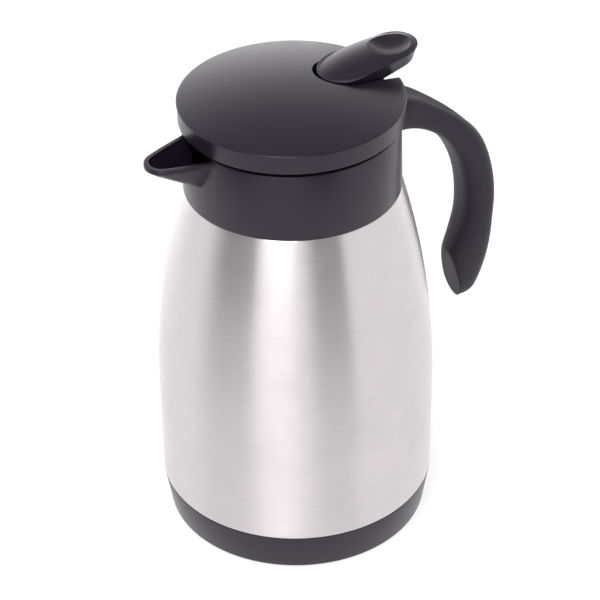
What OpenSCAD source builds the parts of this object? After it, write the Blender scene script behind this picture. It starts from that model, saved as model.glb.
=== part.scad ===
// Vacuum carafe with a twist-in stopper lid and a press-to-pour thumb lever.
// The origin is the centre of the foot ring's underside. The handle points
// along +X and the spout along -X. Every size is in millimetres.

/* [Steel vessel] */
// Outside radius of the body
body_r = 64; // [61:0.5:68]
// Height where the straight wall starts to curve in
straight_z = 68; // [55:1:85]
// Height of the shoulder that the collar stands on
shoulder_z = 174.4; // [160:0.2:190]
// Outside radius at the shoulder
shoulder_r = 48.9; // [48.7:0.1:51]
// Outside radius of the steel neck inside the collar
neck_r = 46.3; // [45.5:0.1:46.4]
// Height of the neck above the shoulder
neck_h = 13.6; // [12:0.2:15]
// Inside radius of the mouth
mouth_r = 41; // [40.6:0.1:42]
// Wall of the outer shell
shell_t = 0.6; // [0.5:0.1:1.2]
// Wall of the inner vessel
liner_t = 0.5; // [0.5:0.1:1.2]
// Vacuum gap between the two walls
vacuum_gap = 5; // [3:0.5:8]
// Corner radius at the bottom of the inner vessel
liner_corner_r = 14; // [8:1:20]

/* [Base] */
// Height of the base cup
base_h = 20; // [15:0.5:26]
// How much narrower the base cup is at the bottom than the body
base_inset = 3.2; // [1:0.2:6]
// Wall of the base cup
base_t = 2.1; // [1.6:0.1:3]
// Floor thickness of the base cup
base_floor_t = 1.8; // [1.4:0.1:2.6]
// How far the foot ring stands out below the cup
foot_out = 0.8; // [0.4:0.1:1.5]
// Width of the foot ring
foot_w = 5; // [3:0.5:7]
// Depth of the groove that holds the foot ring
foot_groove = 1.2; // [0.8:0.1:1.6]

/* [Collar] */
// Outside radius at the collar's top edge
collar_r = 48.2; // [47.8:0.1:48.6]
// Height of the collar
collar_h = 31.9; // [29:0.1:36]
// Inside radius of the collar round the stopper
collar_bore = 46; // [45.8:0.1:46.3]
// Thickness of the gasket on the vessel's rim
rim_gasket_t = 1.3; // [1:0.1:2]
// Thickness of the ledge over the gasket
ledge_t = 1.6; // [1.2:0.1:2.4]
// How far the lid's seat lies below the collar's top edge
seat_drop = 2.5; // [2:0.1:3.5]

/* [Spout] */
// Distance from the axis to the spout's tip
spout_reach = 72; // [68:0.1:76]
// Half the width of the spout where it leaves the collar
spout_half_w = 15.1; // [13.5:0.1:16]
// Depth of the spout where it leaves the collar
spout_depth = 21.4; // [18:0.2:22]
// Radius of the spout's nose
spout_nose_r = 8.6; // [7.6:0.1:9.8]
// Wall of the spout
spout_t = 1.4; // [1.2:0.1:2]
// Height of the band round the spout's rim
lip_h = 1.9; // [1.4:0.1:3]
// How far the band stands out from the spout's wall
lip_out = 0.8; // [0.4:0.1:1.2]
// Angle at which the rim falls towards the tip
spout_fall = 1.8; // [1:0.2:4]

/* [Handle] */
// Distance from the axis to the middle of the grip
grip_x = 98.4; // [92:0.2:106]
// Drop of the grip's outermost point below the collar's top edge
grip_drop = 72.3; // [66:0.1:78]
// Drop of the handle's root below the collar's top edge
root_drop = 11.7; // [10.4:0.1:13]
// Distance from the axis to the end of the handle's middle line
tail_x = 84.8; // [82:0.2:90]
// Drop of the end of the handle's middle line below the collar's top edge
tail_drop = 123.9; // [117:0.1:128]
// Width of the grip
grip_w = 19.6; // [17:0.2:23]
// Thickness of the handle above the grip
grip_t = 14.8; // [13:0.2:17]
// Thickness of the heel at the handle's lower end
heel_t = 22; // [18:0.2:24]
// Width of the handle where it meets the collar
root_w = 25.5; // [22:0.5:27]
// Slope of the flat facet at the handle's end, from upright
facet_slope = 12; // [4:0.2:20]

/* [Lid] */
// Outside radius of the lid
lid_r = 50.2; // [49.4:0.1:51]
// Height of the lid's skirt
skirt_h = 8.45; // [7.5:0.05:10]
// Gap between the collar and the skirt
skirt_gap = 2.55; // [2:0.05:3.5]
// Height of the dome above the skirt
dome_h = 6.7; // [6:0.1:8]
// Radius of the lid's rounded edge
lid_edge_r = 1.8; // [1:0.1:2.4]
// Wall of the lid
lid_t = 2.4; // [2:0.1:2.6]
// Distance from the axis to the front of the lever's slot
slot_x = 12.8; // [11:0.2:13.4]
// Radius of the slot's front end
slot_front_r = 13.2; // [13:0.1:14]
// Half the width of the slot at the lid's rear edge
slot_rear_w = 10.1; // [10:0.1:11]

/* [Stopper] */
// Outside radius of the stopper's tube
stopper_r = 39.6; // [38.5:0.1:40]
// Wall of the stopper's tube
stopper_t = 2.2; // [1.8:0.1:2.6]
// Depth of the stopper's tube below the lid's seat
stopper_depth = 27.5; // [26:0.5:30]
// Outside radius of the drum under the lid
drum_r = 45.6; // [45.3:0.1:45.7]
// Wall of the drum
drum_t = 2; // [1.6:0.1:2.4]
// Height of the drum
drum_h = 10; // [9.4:0.1:10.4]
// Thickness of the stopper's top plate
deck_t = 2.5; // [2:0.1:3]
// Height of the stopper's gasket
gasket_h = 4; // [3:0.5:5]
// Radius of the hole through the valve seat
port_r = 13; // [11:0.5:14]
// Half the width of the pouring window
window_half_w = 14; // [11:0.5:16]
// Height of the pouring window
window_h = 9.5; // [8:0.5:10]

/* [Lever] */
// Distance from the axis to the lever's pin
pin_x = 27; // [26:0.5:28]
// Radius of the lever's pin
pin_r = 1.5; // [1.3:0.1:1.6]
// Distance from the axis to the lever's rear end
lever_reach = 62.9; // [60:0.5:66]
// Radius of the lever's front end at its top edge
lever_front_r = 13.3; // [12.5:0.1:13.6]
// Radius of the lever's rear end
lever_rear_r = 11.5; // [10.8:0.1:11.7]
// Height of the lever's top edge over the lid's edge, at the rear end
lever_rear_h = 11.6; // [11:0.1:12.4]
// Height of the lever's underside over the lid's edge, at the rear end
lever_under_h = 6.8; // [6.4:0.1:7.2]
// Rise of the lever's top towards the rear, in degrees
lever_rise = 7.4; // [6:0.2:9]
// Height of the lever's crown above its top edge
lever_crown = 3; // [2:0.1:3.4]
// Half the width of the thumb dish
dish_r = 8.8; // [7.6:0.1:9.2]
// Depth of the thumb dish below its sides
dish_depth = 2.5; // [1.8:0.1:2.8]

/* [Valve] */
// Radius of the valve stem
stem_r = 2.5; // [2.2:0.1:2.8]
// Radius of the cap on the stem's top
cap_r = 4.5; // [4:0.1:5]
// Radius of the valve disc
disc_r = 17; // [15:0.5:20]
// Thickness of the valve disc
disc_t = 2.1; // [1.6:0.1:2.6]
// Wire thickness of the return spring
spring_wire = 1.2; // [0.8:0.1:1.4]
// Turns of the return spring
spring_turns = 6; // [4:1:7]

/* [Screws] */
// Radius of the screws' shanks
screw_r = 1.4; // [1.2:0.1:1.5]
// Radius of the screws' heads
head_r = 2.5; // [2.2:0.1:2.6]
// Height of the screws' heads
head_h = 1.6; // [1.2:0.1:2]

/* [Fits] */
// Gap round a piece that another piece holds still
snug = 0.05; // [0.02:0.01:0.1]
// Radial gap of a turning or sliding fit
running = 0.05; // [0.03:0.01:0.1]
// Gap between a soft piece and what it seals against
seal_gap = 0.2; // [0.1:0.05:0.3]
// Gap between the lid's drum and the collar's seat
seat_gap = 0.2; // [0.1:0.05:0.4]
// Gap that shows as a seam between two outside pieces
seam = 0.2; // [0.1:0.05:0.4]

/* [Hidden] */

// Colours as the object shows them
steel_colour = "#c9c5c3";
black_colour = "#3a383c";
dark_colour = "#26252a";
rubber_colour = "#1c1c1f";
bright_colour = "#a9a9ad";
clear_colour = "#8d9096";

// Smoothness of round solids
fine = 180;
medium = 72;
coarse = 32;
// How far a cut runs past the face it opens
past = 1;

// Heights of the vessel and the collar
rim_z = shoulder_z + neck_h;
collar_top = shoulder_z + collar_h;
ledge_z = rim_z + rim_gasket_t + seam / 2;
ledge_top = ledge_z + ledge_t;
seat_z = collar_top - seat_drop;

// Plan and height of the spout
spout_root_x = collar_bore - 2;
spout_mid_x = spout_reach - 16;
spout_mid_r = spout_half_w - 4;
spout_nose_x = spout_reach - spout_nose_r;
spout_rim_z = collar_top - 0.6;
keel_r = spout_nose_r - 0.5;
nose_rise = 0.3;

// Heights of the handle
root_z = collar_top - root_drop;
grip_z = collar_top - grip_drop;
tail_z = collar_top - tail_drop;

// The body's wall curves in on one arc from the straight part to the shoulder
curve_r = (pow(body_r - shoulder_r, 2) + pow(shoulder_z - straight_z, 2))
        / (2 * (body_r - shoulder_r));
liner_in = shell_t + vacuum_gap;
floor_z = foot_out + foot_groove + base_floor_t;
tuck_z = floor_z + seam;
liner_z = tuck_z + 9.4;
liner_top = shoulder_z - vacuum_gap;

// Heights of the lid
skirt_z = collar_top + skirt_gap;
edge_z = skirt_z + skirt_h;
dome_z = edge_z + dome_h;
dome_edge = [lid_r - lid_edge_r, edge_z + lid_edge_r];
dome_r = (pow(dome_edge.x, 2) + pow(dome_z - dome_edge.y, 2))
       / (2 * (dome_z - dome_edge.y));

// Heights of the stopper, from its seat on the collar down to the valve
deck_z = seat_z + seat_gap;
deck_top = deck_z + deck_t;
drum_top = deck_z + drum_h;
stopper_z = deck_z - stopper_depth;
port_floor_t = 2.5;
seat_lip_h = 1.5;
seat_lip_w = 2;
port_lip_z = stopper_z + port_floor_t + seat_lip_h;
gasket_z = stopper_z + 5;
gasket_bite = 1.2;
window_z = deck_z - window_h - 2;

// Heights of the cradle and the lever's hinge
cradle_t = 1.8;
cradle_top = deck_top + cradle_t;
boss_r = 2.8;
cheek_r = 3.4;
cheek_in = 7;
cheek_t = 3;
pin_z = cradle_top + boss_r + 0.3;
nose_x = -5;
nose_half_w = 6;
nose_z = cradle_top + 0.6;
nose_h = 4;

// The lever's plan: its low wall stands free in the slot, and its top edge overhangs
lever_under_rise = 13;
lever_gap = 1.9;
lever_tip_over = 0.3;
flare_front_r = lever_front_r - 1.1;
flare_front_x = slot_x + lever_gap + lever_tip_over / 2 + flare_front_r;
flare_rear_r = lever_rear_r - 0.4;
low_front_r = slot_front_r - lever_gap;
low_front_x = slot_x + lever_gap + low_front_r;
low_rear_r = slot_rear_w - 0.3;
lever_front_x = slot_x + lever_gap + lever_tip_over + lever_front_r;
lever_rear_x = lever_reach - lever_rear_r;
lever_half_l = (lever_reach - lever_front_x + lever_front_r) / 2;
lever_mid_x = lever_reach - lever_half_l;

// Heights of the valve
seal_t = 1.3;
seal_w = 4;
disc_z = port_lip_z + running + seal_t;
disc_top = disc_z + disc_t;
cap_z = nose_z + nose_h + 0.1;
cap_h = 3;
stem_top = cap_z + cap_h + 0.5;
gland_r = 6;
gland_shoulder = 1.5;
gland_boss_r = 9;
gland_boss_z = deck_z - 4;
spring_r = 5.6;

// Outside radius of the base cup at the bottom
base_r = body_r - base_inset;
// Outside radius of the base cup at a height
function cup_r(z) = base_r + (body_r - base_r) * z / base_h;
// Radius of the steel where the base cup holds it
function tuck_r(z) = cup_r(z) - base_t - snug * 2;
// Outside radius of the collar at a height
function collar_out(z) =
  shoulder_r - snug * 2 + (collar_r - shoulder_r + snug * 2) * (z - shoulder_z) / collar_h;
// Height of the lever's top edge at a distance along it
function lever_top(x) = edge_z + lever_rear_h - (lever_reach - x) * tan(lever_rise);
// Height of the lever's underside at a distance along it
function lever_under(x) = edge_z + lever_under_h - (lever_reach - x) * tan(lever_under_rise);

// Region from the axis to the body's wall, drawn in by an inset
module belly(inset, low, high) {
  translate([0, low])
    square([body_r - inset, straight_z - low]);
  intersection() {
    translate([0, straight_z])
      square([body_r, high - straight_z]);
    translate([body_r - curve_r, straight_z])
      circle(r = curve_r - inset, $fn = 4 * fine);
  }
}

// Region of a round-cornered vessel floor
module rounded_floor(r, low, corner) {
  translate([0, low])
    square([r - corner, corner + past]);
  intersection() {
    translate([r - corner, low])
      square([corner, corner]);
    translate([r - corner, low + corner])
      circle(r = corner, $fn = fine);
  }
  translate([r - corner, low + corner])
    square([corner, past]);
}

// Outer shell: brushed steel, necked in where the base cup and collar hold it
module outer_shell() {
  color(steel_colour)
    rotate_extrude($fn = fine)
      difference() {
        union() {
          polygon([
            [0, tuck_z], [tuck_r(tuck_z), tuck_z],
            [tuck_r(base_h + seam), base_h + seam], [0, base_h + seam]
          ]);
          belly(0, base_h + seam, shoulder_z);
          translate([0, shoulder_z])
            square([neck_r, rim_z - liner_t - shoulder_z]);
        }
        union() {
          polygon([
            [0, tuck_z - past], [tuck_r(tuck_z) - shell_t, tuck_z - past],
            [tuck_r(tuck_z) - shell_t, tuck_z],
            [tuck_r(base_h + seam) - shell_t, base_h + seam + shell_t],
            [0, base_h + seam + shell_t]
          ]);
          belly(shell_t, base_h + seam + shell_t, shoulder_z - shell_t);
          translate([0, shoulder_z - shell_t - past])
            square([neck_r - shell_t, rim_z - shoulder_z + 2 * past]);
        }
      }
}

// Bottom plate: closes the outer shell and rises in the middle
plate_rise = 3.4;
plate_rim_w = 6;
module shell_bottom() {
  plate_r = tuck_r(tuck_z) - shell_t - snug;
  color(steel_colour)
    rotate_extrude($fn = fine)
      polygon([
        [0, tuck_z + plate_rise],
        [plate_r - 2 * plate_rim_w, tuck_z + plate_rise],
        [plate_r - plate_rim_w, tuck_z],
        [plate_r, tuck_z],
        [plate_r, tuck_z + shell_t],
        [plate_r - plate_rim_w, tuck_z + shell_t],
        [plate_r - 2 * plate_rim_w, tuck_z + plate_rise + shell_t],
        [0, tuck_z + plate_rise + shell_t]
      ]);
}

// Vacuum seal: the bead that closes the hole through which the air left
seal_bead_r = 4;
seal_bead_h = 1.2;
module vacuum_seal() {
  color(bright_colour)
    translate([0, 0, tuck_z + plate_rise - seal_bead_h])
      cylinder(r1 = seal_bead_r - seal_bead_h, r2 = seal_bead_r, h = seal_bead_h,
               $fn = medium);
}

// Getter: takes up stray gas inside the vacuum
getter_r = 8;
getter_t = 1.5;
module getter_disc() {
  color(bright_colour)
    translate([0, 0, tuck_z + plate_rise + shell_t])
      cylinder(r = getter_r, h = getter_t, $fn = medium);
}

// Inner vessel: holds the drink and is rolled out over the shell at the rim
module inner_vessel() {
  liner_r = body_r - liner_in;
  color(steel_colour)
    rotate_extrude($fn = fine)
      difference() {
        union() {
          rounded_floor(liner_r, liner_z, liner_corner_r);
          belly(liner_in, liner_z + liner_corner_r, liner_top);
          translate([0, liner_z + liner_corner_r])
            square([mouth_r + liner_t, rim_z - liner_z - liner_corner_r]);
          translate([0, rim_z - liner_t])
            square([neck_r, liner_t]);
        }
        union() {
          rounded_floor(liner_r - liner_t, liner_z + liner_t, liner_corner_r - liner_t);
          belly(liner_in + liner_t, liner_z + liner_corner_r, liner_top - liner_t);
          translate([0, liner_z + liner_corner_r])
            square([mouth_r, rim_z]);
        }
      }
}

// Base cup: black moulding pressed onto the body's lower end
chamfer = 0.8;
module base_cup() {
  ring_in = cup_r(foot_out) - chamfer - 2 - foot_w;
  color(black_colour)
    rotate_extrude($fn = fine)
      difference() {
        polygon([
          [0, foot_out + foot_groove],
          [ring_in - 3, foot_out + foot_groove],
          [ring_in - 2, foot_out],
          [cup_r(foot_out) - chamfer, foot_out],
          [cup_r(foot_out + chamfer), foot_out + chamfer],
          [body_r, base_h],
          [cup_r(base_h) - base_t, base_h],
          [cup_r(floor_z) - base_t, floor_z],
          [0, floor_z]
        ]);
        translate([ring_in, foot_out - past])
          square([foot_w, foot_groove + past]);
      }
}

// Foot ring: non-slip ring in the base cup's groove
module foot_ring() {
  ring_in = cup_r(foot_out) - chamfer - 2 - foot_w;
  color(rubber_colour)
    rotate_extrude($fn = fine)
      translate([ring_in + snug, 0])
        square([foot_w - 2 * snug, foot_out + foot_groove - snug]);
}

// Outline of the spout's rim from above, pointing along -X
module rim_outline(inset) {
  hull() {
    translate([-spout_root_x, -spout_half_w + inset])
      square([past, 2 * (spout_half_w - inset)]);
    translate([-spout_mid_x, 0])
      circle(r = spout_mid_r - inset, $fn = medium);
    translate([-spout_nose_x, 0])
      circle(r = spout_nose_r - inset, $fn = medium);
  }
}

// The spout's belly: a blunt keel that rises from the collar to the nose
module spout_form(inset) {
  hull() {
    translate([-spout_root_x, 0, spout_rim_z - spout_depth + keel_r])
      rotate([0, 90, 0])
        cylinder(r = keel_r - inset, h = past, $fn = coarse);
    translate([-spout_root_x, -spout_half_w + inset, spout_rim_z])
      cube([past, 2 * (spout_half_w - inset), nose_rise]);
    translate([-spout_mid_x, 0, spout_rim_z + nose_rise])
      sphere(r = spout_mid_r - inset, $fn = coarse);
    translate([-spout_nose_x, 0, spout_rim_z + nose_rise])
      sphere(r = spout_nose_r - inset, $fn = coarse);
  }
}

// Everything under the spout's sloping rim, less a step down
module under_rim(step) {
  translate([-collar_bore, 0, spout_rim_z - step])
    rotate([0, -spout_fall, 0])
      translate([-spout_reach, -2 * spout_half_w, -2 * spout_depth])
        cube([2 * spout_reach, 4 * spout_half_w, 2 * spout_depth]);
}

// Collar: neck ring with the spout, moulded in one
module collar() {
  color(black_colour)
    difference() {
      union() {
        translate([0, 0, shoulder_z + snug])
          cylinder(r1 = collar_out(shoulder_z + snug), r2 = collar_out(collar_top),
                   h = collar_h - snug, $fn = fine);
        intersection() {
          spout_form(lip_out);
          under_rim(0);
        }
        intersection() {
          translate([0, 0, spout_rim_z - spout_depth])
            linear_extrude(2 * spout_depth)
              rim_outline(0);
          difference() {
            under_rim(0);
            under_rim(lip_h);
          }
        }
      }
      translate([0, 0, shoulder_z - past])
        cylinder(r = neck_r + 6 * snug, h = ledge_z - shoulder_z + past, $fn = fine);
      translate([0, 0, ledge_z - past])
        cylinder(r = mouth_r + 1, h = collar_h, $fn = fine);
      difference() {
        translate([0, 0, ledge_top])
          cylinder(r = collar_bore, h = collar_h, $fn = fine);
        seat_rib();
      }
      intersection() {
        spout_form(lip_out + spout_t);
        translate([-spout_reach, -spout_half_w, ledge_top])
          cube([spout_reach - mouth_r + 2, 2 * spout_half_w, collar_h]);
      }
      handle_screw_axes()
        translate([0, 0, -past])
          cylinder(r = screw_r + running, h = 2 * collar_bore, $fn = coarse);
    }
}

// Ring inside the collar that the lid's drum stands on, open at the spout
rib_t = 1.8;
rib_h = 2;
module seat_rib() {
  difference() {
    translate([0, 0, seat_z - rib_h])
      cylinder(r = collar_bore + past, h = rib_h, $fn = fine);
    translate([0, 0, seat_z - rib_h - past])
      cylinder(r = collar_bore - rib_t, h = rib_h + 2 * past, $fn = fine);
    translate([-2 * collar_bore, -spout_half_w, seat_z - rib_h - past])
      cube([2 * collar_bore, 2 * spout_half_w, rib_h + 2 * past]);
  }
}

// Gasket between the vessel's rim and the collar's ledge
module rim_gasket() {
  color(rubber_colour)
    rotate_extrude($fn = fine)
      translate([mouth_r + 1.6, rim_z])
        square([neck_r - mouth_r - 2, rim_gasket_t]);
}

// Middle line of the handle: two cubic curves that meet at the grip
function cubic(p, t) =
  pow(1 - t, 3) * p[0] + 3 * pow(1 - t, 2) * t * p[1]
  + 3 * (1 - t) * t * t * p[2] + pow(t, 3) * p[3];
function cubic_slope(p, t) =
  3 * pow(1 - t, 2) * (p[1] - p[0]) + 6 * (1 - t) * t * (p[2] - p[1])
  + 3 * t * t * (p[3] - p[2]);
handle_start_x = collar_r - 3;
arm_curve = [
  [handle_start_x, root_z], [grip_x - 21.6, root_z + 0.8],
  [grip_x, grip_z + 33.2], [grip_x, grip_z]
];
tail_curve = [
  [grip_x, grip_z], [grip_x, grip_z - 19.3],
  [tail_x + 6.3, tail_z + 12.3], [tail_x, tail_z]
];
// A position along the handle from 0 at the collar to 2 at the tail
function handle_mid(u) = u <= 1 ? cubic(arm_curve, u) : cubic(tail_curve, u - 1);
function handle_dir(u) =
  let (d = u <= 1 ? cubic_slope(arm_curve, u) : cubic_slope(tail_curve, u - 1)) d / norm(d);
// A table's value at a position, averaged over its neighbourhood so that it has no kinks
function eased(u, table) =
  (lookup(u - 0.08, table) + lookup(u - 0.04, table) + lookup(u, table)
   + lookup(u + 0.04, table) + lookup(u + 0.08, table)) / 5;
// Half thickness, half width and squareness of the section along the handle
function handle_a(u) = eased(u, [
  [0, grip_t / 2 + 0.2], [0.15, grip_t / 2], [0.5, grip_t / 2], [0.95, grip_t / 2 + 0.8],
  [1.15, grip_t / 2 + 0.6], [1.5, heel_t / 2], [1.75, heel_t / 2 + 0.4], [2, heel_t / 2 - 1.4]
]);
function handle_b(u) = eased(u, [
  [0, root_w / 2], [0.08, root_w / 2 - 1.5], [0.2, grip_w / 2 + 0.2], [0.35, grip_w / 2],
  [1.3, grip_w / 2], [1.7, grip_w / 2 - 1.5], [2, grip_w / 2 - 3.1]
]);
function handle_n(u) = eased(u, [[0, 7], [0.3, 5], [0.8, 2.8], [1.4, 2.5], [2, 2.5]]);
// The side that faces the body is rounder near the collar
function handle_inner_n(u) = eased(u, [[0, 2.6], [0.3, 3.6], [0.8, 2.8], [1.4, 2.5], [2, 2.5]]);
// Point on a rounded section at an angle
function round_off(c, n) = sign(c) * pow(abs(c), 2 / n);
function handle_point(u, angle, shrink) =
  let (
    m = handle_mid(u), d = handle_dir(u),
    n = cos(angle) > 0 ? handle_inner_n(u) : handle_n(u),
    across = round_off(cos(angle), n) * handle_a(u) * shrink,
    side = round_off(sin(angle), n) * handle_b(u) * shrink
  )
  [m.x + d.y * across, side, m.y - d.x * across];
handle_sides = 32;
handle_steps = 34;
tip_steps = 5;
tip_h = 0.19;
handle_rings = concat(
  [for (i = [0 : handle_steps]) [(2 - tip_h) * i / handle_steps, 1]],
  [for (i = [1 : tip_steps])
    let (s = i / (tip_steps + 0.3)) [2 - tip_h + tip_h * s, sqrt(1 - s * s)]]
);
module handle_form() {
  rings = len(handle_rings);
  points = [
    for (r = handle_rings)
      for (k = [0 : handle_sides - 1])
        handle_point(r[0], 360 * (k + 0.5) / handle_sides, r[1])
  ];
  walls = [
    for (i = [0 : rings - 2])
      for (k = [0 : handle_sides - 1])
        let (
          a = i * handle_sides + k, b = i * handle_sides + (k + 1) % handle_sides,
          c = b + handle_sides, d = a + handle_sides
        )
        each [[a, b, c], [a, c, d]]
  ];
  ends = [
    [for (k = [handle_sides - 1 : -1 : 0]) k],
    [for (k = [0 : handle_sides - 1]) (rings - 1) * handle_sides + k]
  ];
  polyhedron(points, concat(walls, ends), convexity = 4);
}

// The axes of the two screws that hold the handle, running outwards
handle_screw_l = 14;
screw_heights = [ledge_top + head_r + 0.2, seat_z - rib_h - head_r - 0.2];
module handle_screw_axes() {
  for (z = screw_heights)
    translate([0, 0, z])
      rotate([0, 90, 0])
        children();
}

// Handle: one moulding, screwed to the collar from inside, with a free end
module handle() {
  color(black_colour)
    difference() {
      handle_form();
      translate([0, 0, shoulder_z + snug])
        cylinder(r1 = collar_out(shoulder_z + snug) + snug,
                 r2 = collar_out(collar_top) + snug, h = collar_h, $fn = fine);
      translate([grip_x - 15.4, 0, grip_z - 25.1])
        rotate([0, 180 - facet_slope, 0])
          translate([0, -grip_w, -2 * heel_t])
            cube([2 * heel_t, 2 * grip_w, 5 * heel_t]);
      handle_screw_axes()
        cylinder(r = screw_r + snug, h = collar_bore + handle_screw_l + 1, $fn = coarse);
    }
}

// One screw along +Z, its head's underside at the origin
module screw(length) {
  translate([0, 0, -head_h])
    cylinder(r = head_r, h = head_h, $fn = medium);
  cylinder(r = screw_r, h = length, $fn = medium);
}

// Screws that hold the handle
module handle_screws() {
  color(bright_colour)
    handle_screw_axes()
      translate([0, 0, collar_bore - 0.1])
        screw(handle_screw_l);
}

// Region of the lid's dome and skirt, drawn in by an inset
module lid_region(inset, low) {
  intersection() {
    union() {
      polygon([
        [0, low], [lid_r - 0.4 - inset, low], [lid_r - inset, edge_z], [0, edge_z]
      ]);
      translate([0, edge_z])
        square([dome_edge.x, dome_h + past]);
      intersection() {
        translate([dome_edge.x, edge_z])
          square([lid_edge_r, lid_edge_r]);
        translate([dome_edge.x, edge_z])
          circle(r = lid_edge_r - inset / 2, $fn = fine);
      }
    }
    translate([0, dome_z - dome_r])
      circle(r = dome_r - inset, $fn = 4 * fine);
  }
}

// Outline of the slot, open towards the rear
module slot_outline(inset) {
  front_x = slot_x + slot_front_r;
  hull() {
    translate([front_x, 0])
      circle(r = slot_front_r - inset, $fn = fine);
    translate([lid_r + 4, -slot_rear_w + inset])
      square([past, 2 * (slot_rear_w - inset)]);
  }
}

// Lid cover: domed top and skirt with the slot for the lever
module lid_cover() {
  color(black_colour)
    difference() {
      rotate_extrude($fn = fine)
        difference() {
          union() {
            difference() {
              lid_region(0, skirt_z);
              lid_region(lid_t, skirt_z - past);
            }
            intersection() {
              translate([drum_r - drum_t, drum_top])
                square([drum_t, dome_h]);
              lid_region(lid_t / 2, drum_top);
            }
          }
        }
      translate([0, 0, skirt_z - past])
        linear_extrude(dome_z)
          slot_outline(0);
    }
}

// Stopper: drum, top plate and tube with the valve seat and pouring window
module stopper() {
  groove_r = stopper_r - gasket_bite;
  color(dark_colour)
    difference() {
      rotate_extrude($fn = fine)
        difference() {
          union() {
            translate([0, deck_z])
              square([drum_r, deck_t]);
            translate([drum_r - drum_t, deck_z])
              square([drum_t, drum_h]);
            translate([0, gland_boss_z])
              square([gland_boss_r, deck_z - gland_boss_z]);
            translate([stopper_r - stopper_t, stopper_z])
              square([stopper_t, stopper_depth]);
            translate([port_r, stopper_z])
              square([stopper_r - port_r, port_floor_t]);
            translate([port_r, stopper_z])
              square([seat_lip_w, port_floor_t + seat_lip_h]);
          }
          translate([groove_r, gasket_z])
            square([gasket_bite + past, gasket_h]);
          translate([0, gland_boss_z - past])
            square([stem_r + 0.4, past + gland_shoulder]);
          translate([0, gland_boss_z + gland_shoulder])
            square([gland_r, deck_z]);
        }
      translate([-stopper_r - past, -window_half_w, window_z])
        cube([stopper_t + 8, 2 * window_half_w, window_h]);
      cradle_screw_places()
        translate([0, 0, -cradle_t - cradle_screw_l])
          cylinder(r = screw_r + snug, h = 2 * cradle_screw_l, $fn = coarse);
    }
}

// Gasket in the stopper's groove
module stopper_gasket() {
  groove_r = stopper_r - gasket_bite;
  color(rubber_colour)
    rotate_extrude($fn = fine)
      difference() {
        translate([groove_r + snug, gasket_z + snug])
          square([mouth_r - seal_gap - groove_r - snug, gasket_h - 2 * snug]);
        translate([mouth_r - seal_gap + 0.3, gasket_z + gasket_h / 2])
          circle(r = 0.9, $fn = coarse);
      }
}

// Places of the four screws that hold the cradle
cradle_screw_x = [-6, 17];
cradle_screw_y = 9.6;
cradle_screw_l = 2.2;
module cradle_screw_places() {
  for (x = cradle_screw_x)
    for (side = [-1, 1])
      translate([x, side * cradle_screw_y, cradle_top])
        children();
}

// Cradle: holds the lever's pin and guides the valve stem
module lever_cradle() {
  front = nose_x - 6;
  rear = pin_x + 7;
  half_w = cradle_screw_y + 3.4;
  color(dark_colour)
    difference() {
      union() {
        translate([front, -half_w, deck_top])
          cube([rear - front, 2 * half_w, cradle_t]);
        for (side = [-1, 1])
          translate([pin_x, side * (cheek_in + cheek_t / 2), 0]) {
            translate([-cheek_r, -cheek_t / 2, deck_top])
              cube([2 * cheek_r, cheek_t, pin_z - deck_top]);
            translate([0, 0, pin_z])
              rotate([90, 0, 0])
                cylinder(r = cheek_r, h = cheek_t, center = true, $fn = medium);
          }
      }
      translate([0, 0, deck_top - past])
        cylinder(r = stem_r + running, h = cradle_t + 2 * past, $fn = medium);
      translate([pin_x, 0, pin_z])
        rotate([90, 0, 0])
          cylinder(r = pin_r + snug, h = 4 * cheek_in, center = true, $fn = medium);
      cradle_screw_places()
        translate([0, 0, -2 * cradle_t])
          cylinder(r = screw_r + running, h = 4 * cradle_t, $fn = coarse);
    }
}

// Screws that hold the cradle
module cradle_screws() {
  color(bright_colour)
    cradle_screw_places()
      rotate([180, 0, 0])
        screw(cradle_t + cradle_screw_l - 0.3);
}

// Pin that the lever turns on
module lever_pin() {
  color(bright_colour)
    translate([pin_x, 0, pin_z])
      rotate([90, 0, 0])
        cylinder(r = pin_r, h = 2 * (cheek_in + cheek_t), center = true, $fn = medium);
}

// One round end of the lever at a height, tilted with the lever
module lever_disc(x, z, rise, r, h) {
  translate([x, 0, z])
    rotate([0, -rise, 0])
      cylinder(r = r, h = h, $fn = 48);
}
// The lever's two ends at the level where its side starts to flare to the top edge
module lever_flare() {
  front_drop = 1.3;
  rear_drop = 0.7;
  lever_disc(flare_front_x, lever_top(flare_front_x) - front_drop, lever_rise, flare_front_r, seam);
  lever_disc(lever_rear_x, lever_top(lever_rear_x) - rear_drop, lever_rise, flare_rear_r, seam);
}
// The lever's body up to a flat top: upright sides and a flare to the top edge
module lever_blank() {
  hull() {
    lever_disc(low_front_x, lever_under(low_front_x), lever_under_rise, low_front_r, seam);
    lever_disc(lever_rear_x, lever_under(lever_rear_x), lever_under_rise, low_rear_r, seam);
    lever_flare();
  }
  hull() {
    lever_flare();
    lever_disc(lever_front_x, lever_top(lever_front_x), lever_rise, lever_front_r, 2 * lever_crown);
    lever_disc(lever_rear_x, lever_top(lever_rear_x), lever_rise, lever_rear_r, 2 * lever_crown);
  }
}

// Barrel whose back is the lever's crowned top
module lever_barrel() {
  along_r = (pow(lever_half_l, 2) + pow(lever_crown, 2)) / (2 * lever_crown);
  across_r = (pow(lever_front_r, 2) + pow(lever_crown, 2)) / (2 * lever_crown);
  translate([lever_mid_x, 0, lever_top(lever_mid_x) + lever_crown])
    rotate([0, -lever_rise, 0])
      translate([0, 0, -along_r])
        rotate([90, 0, 0])
          rotate_extrude($fn = 2 * fine)
            translate([along_r - across_r, 0])
              circle(r = across_r, $fn = fine);
}

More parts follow.
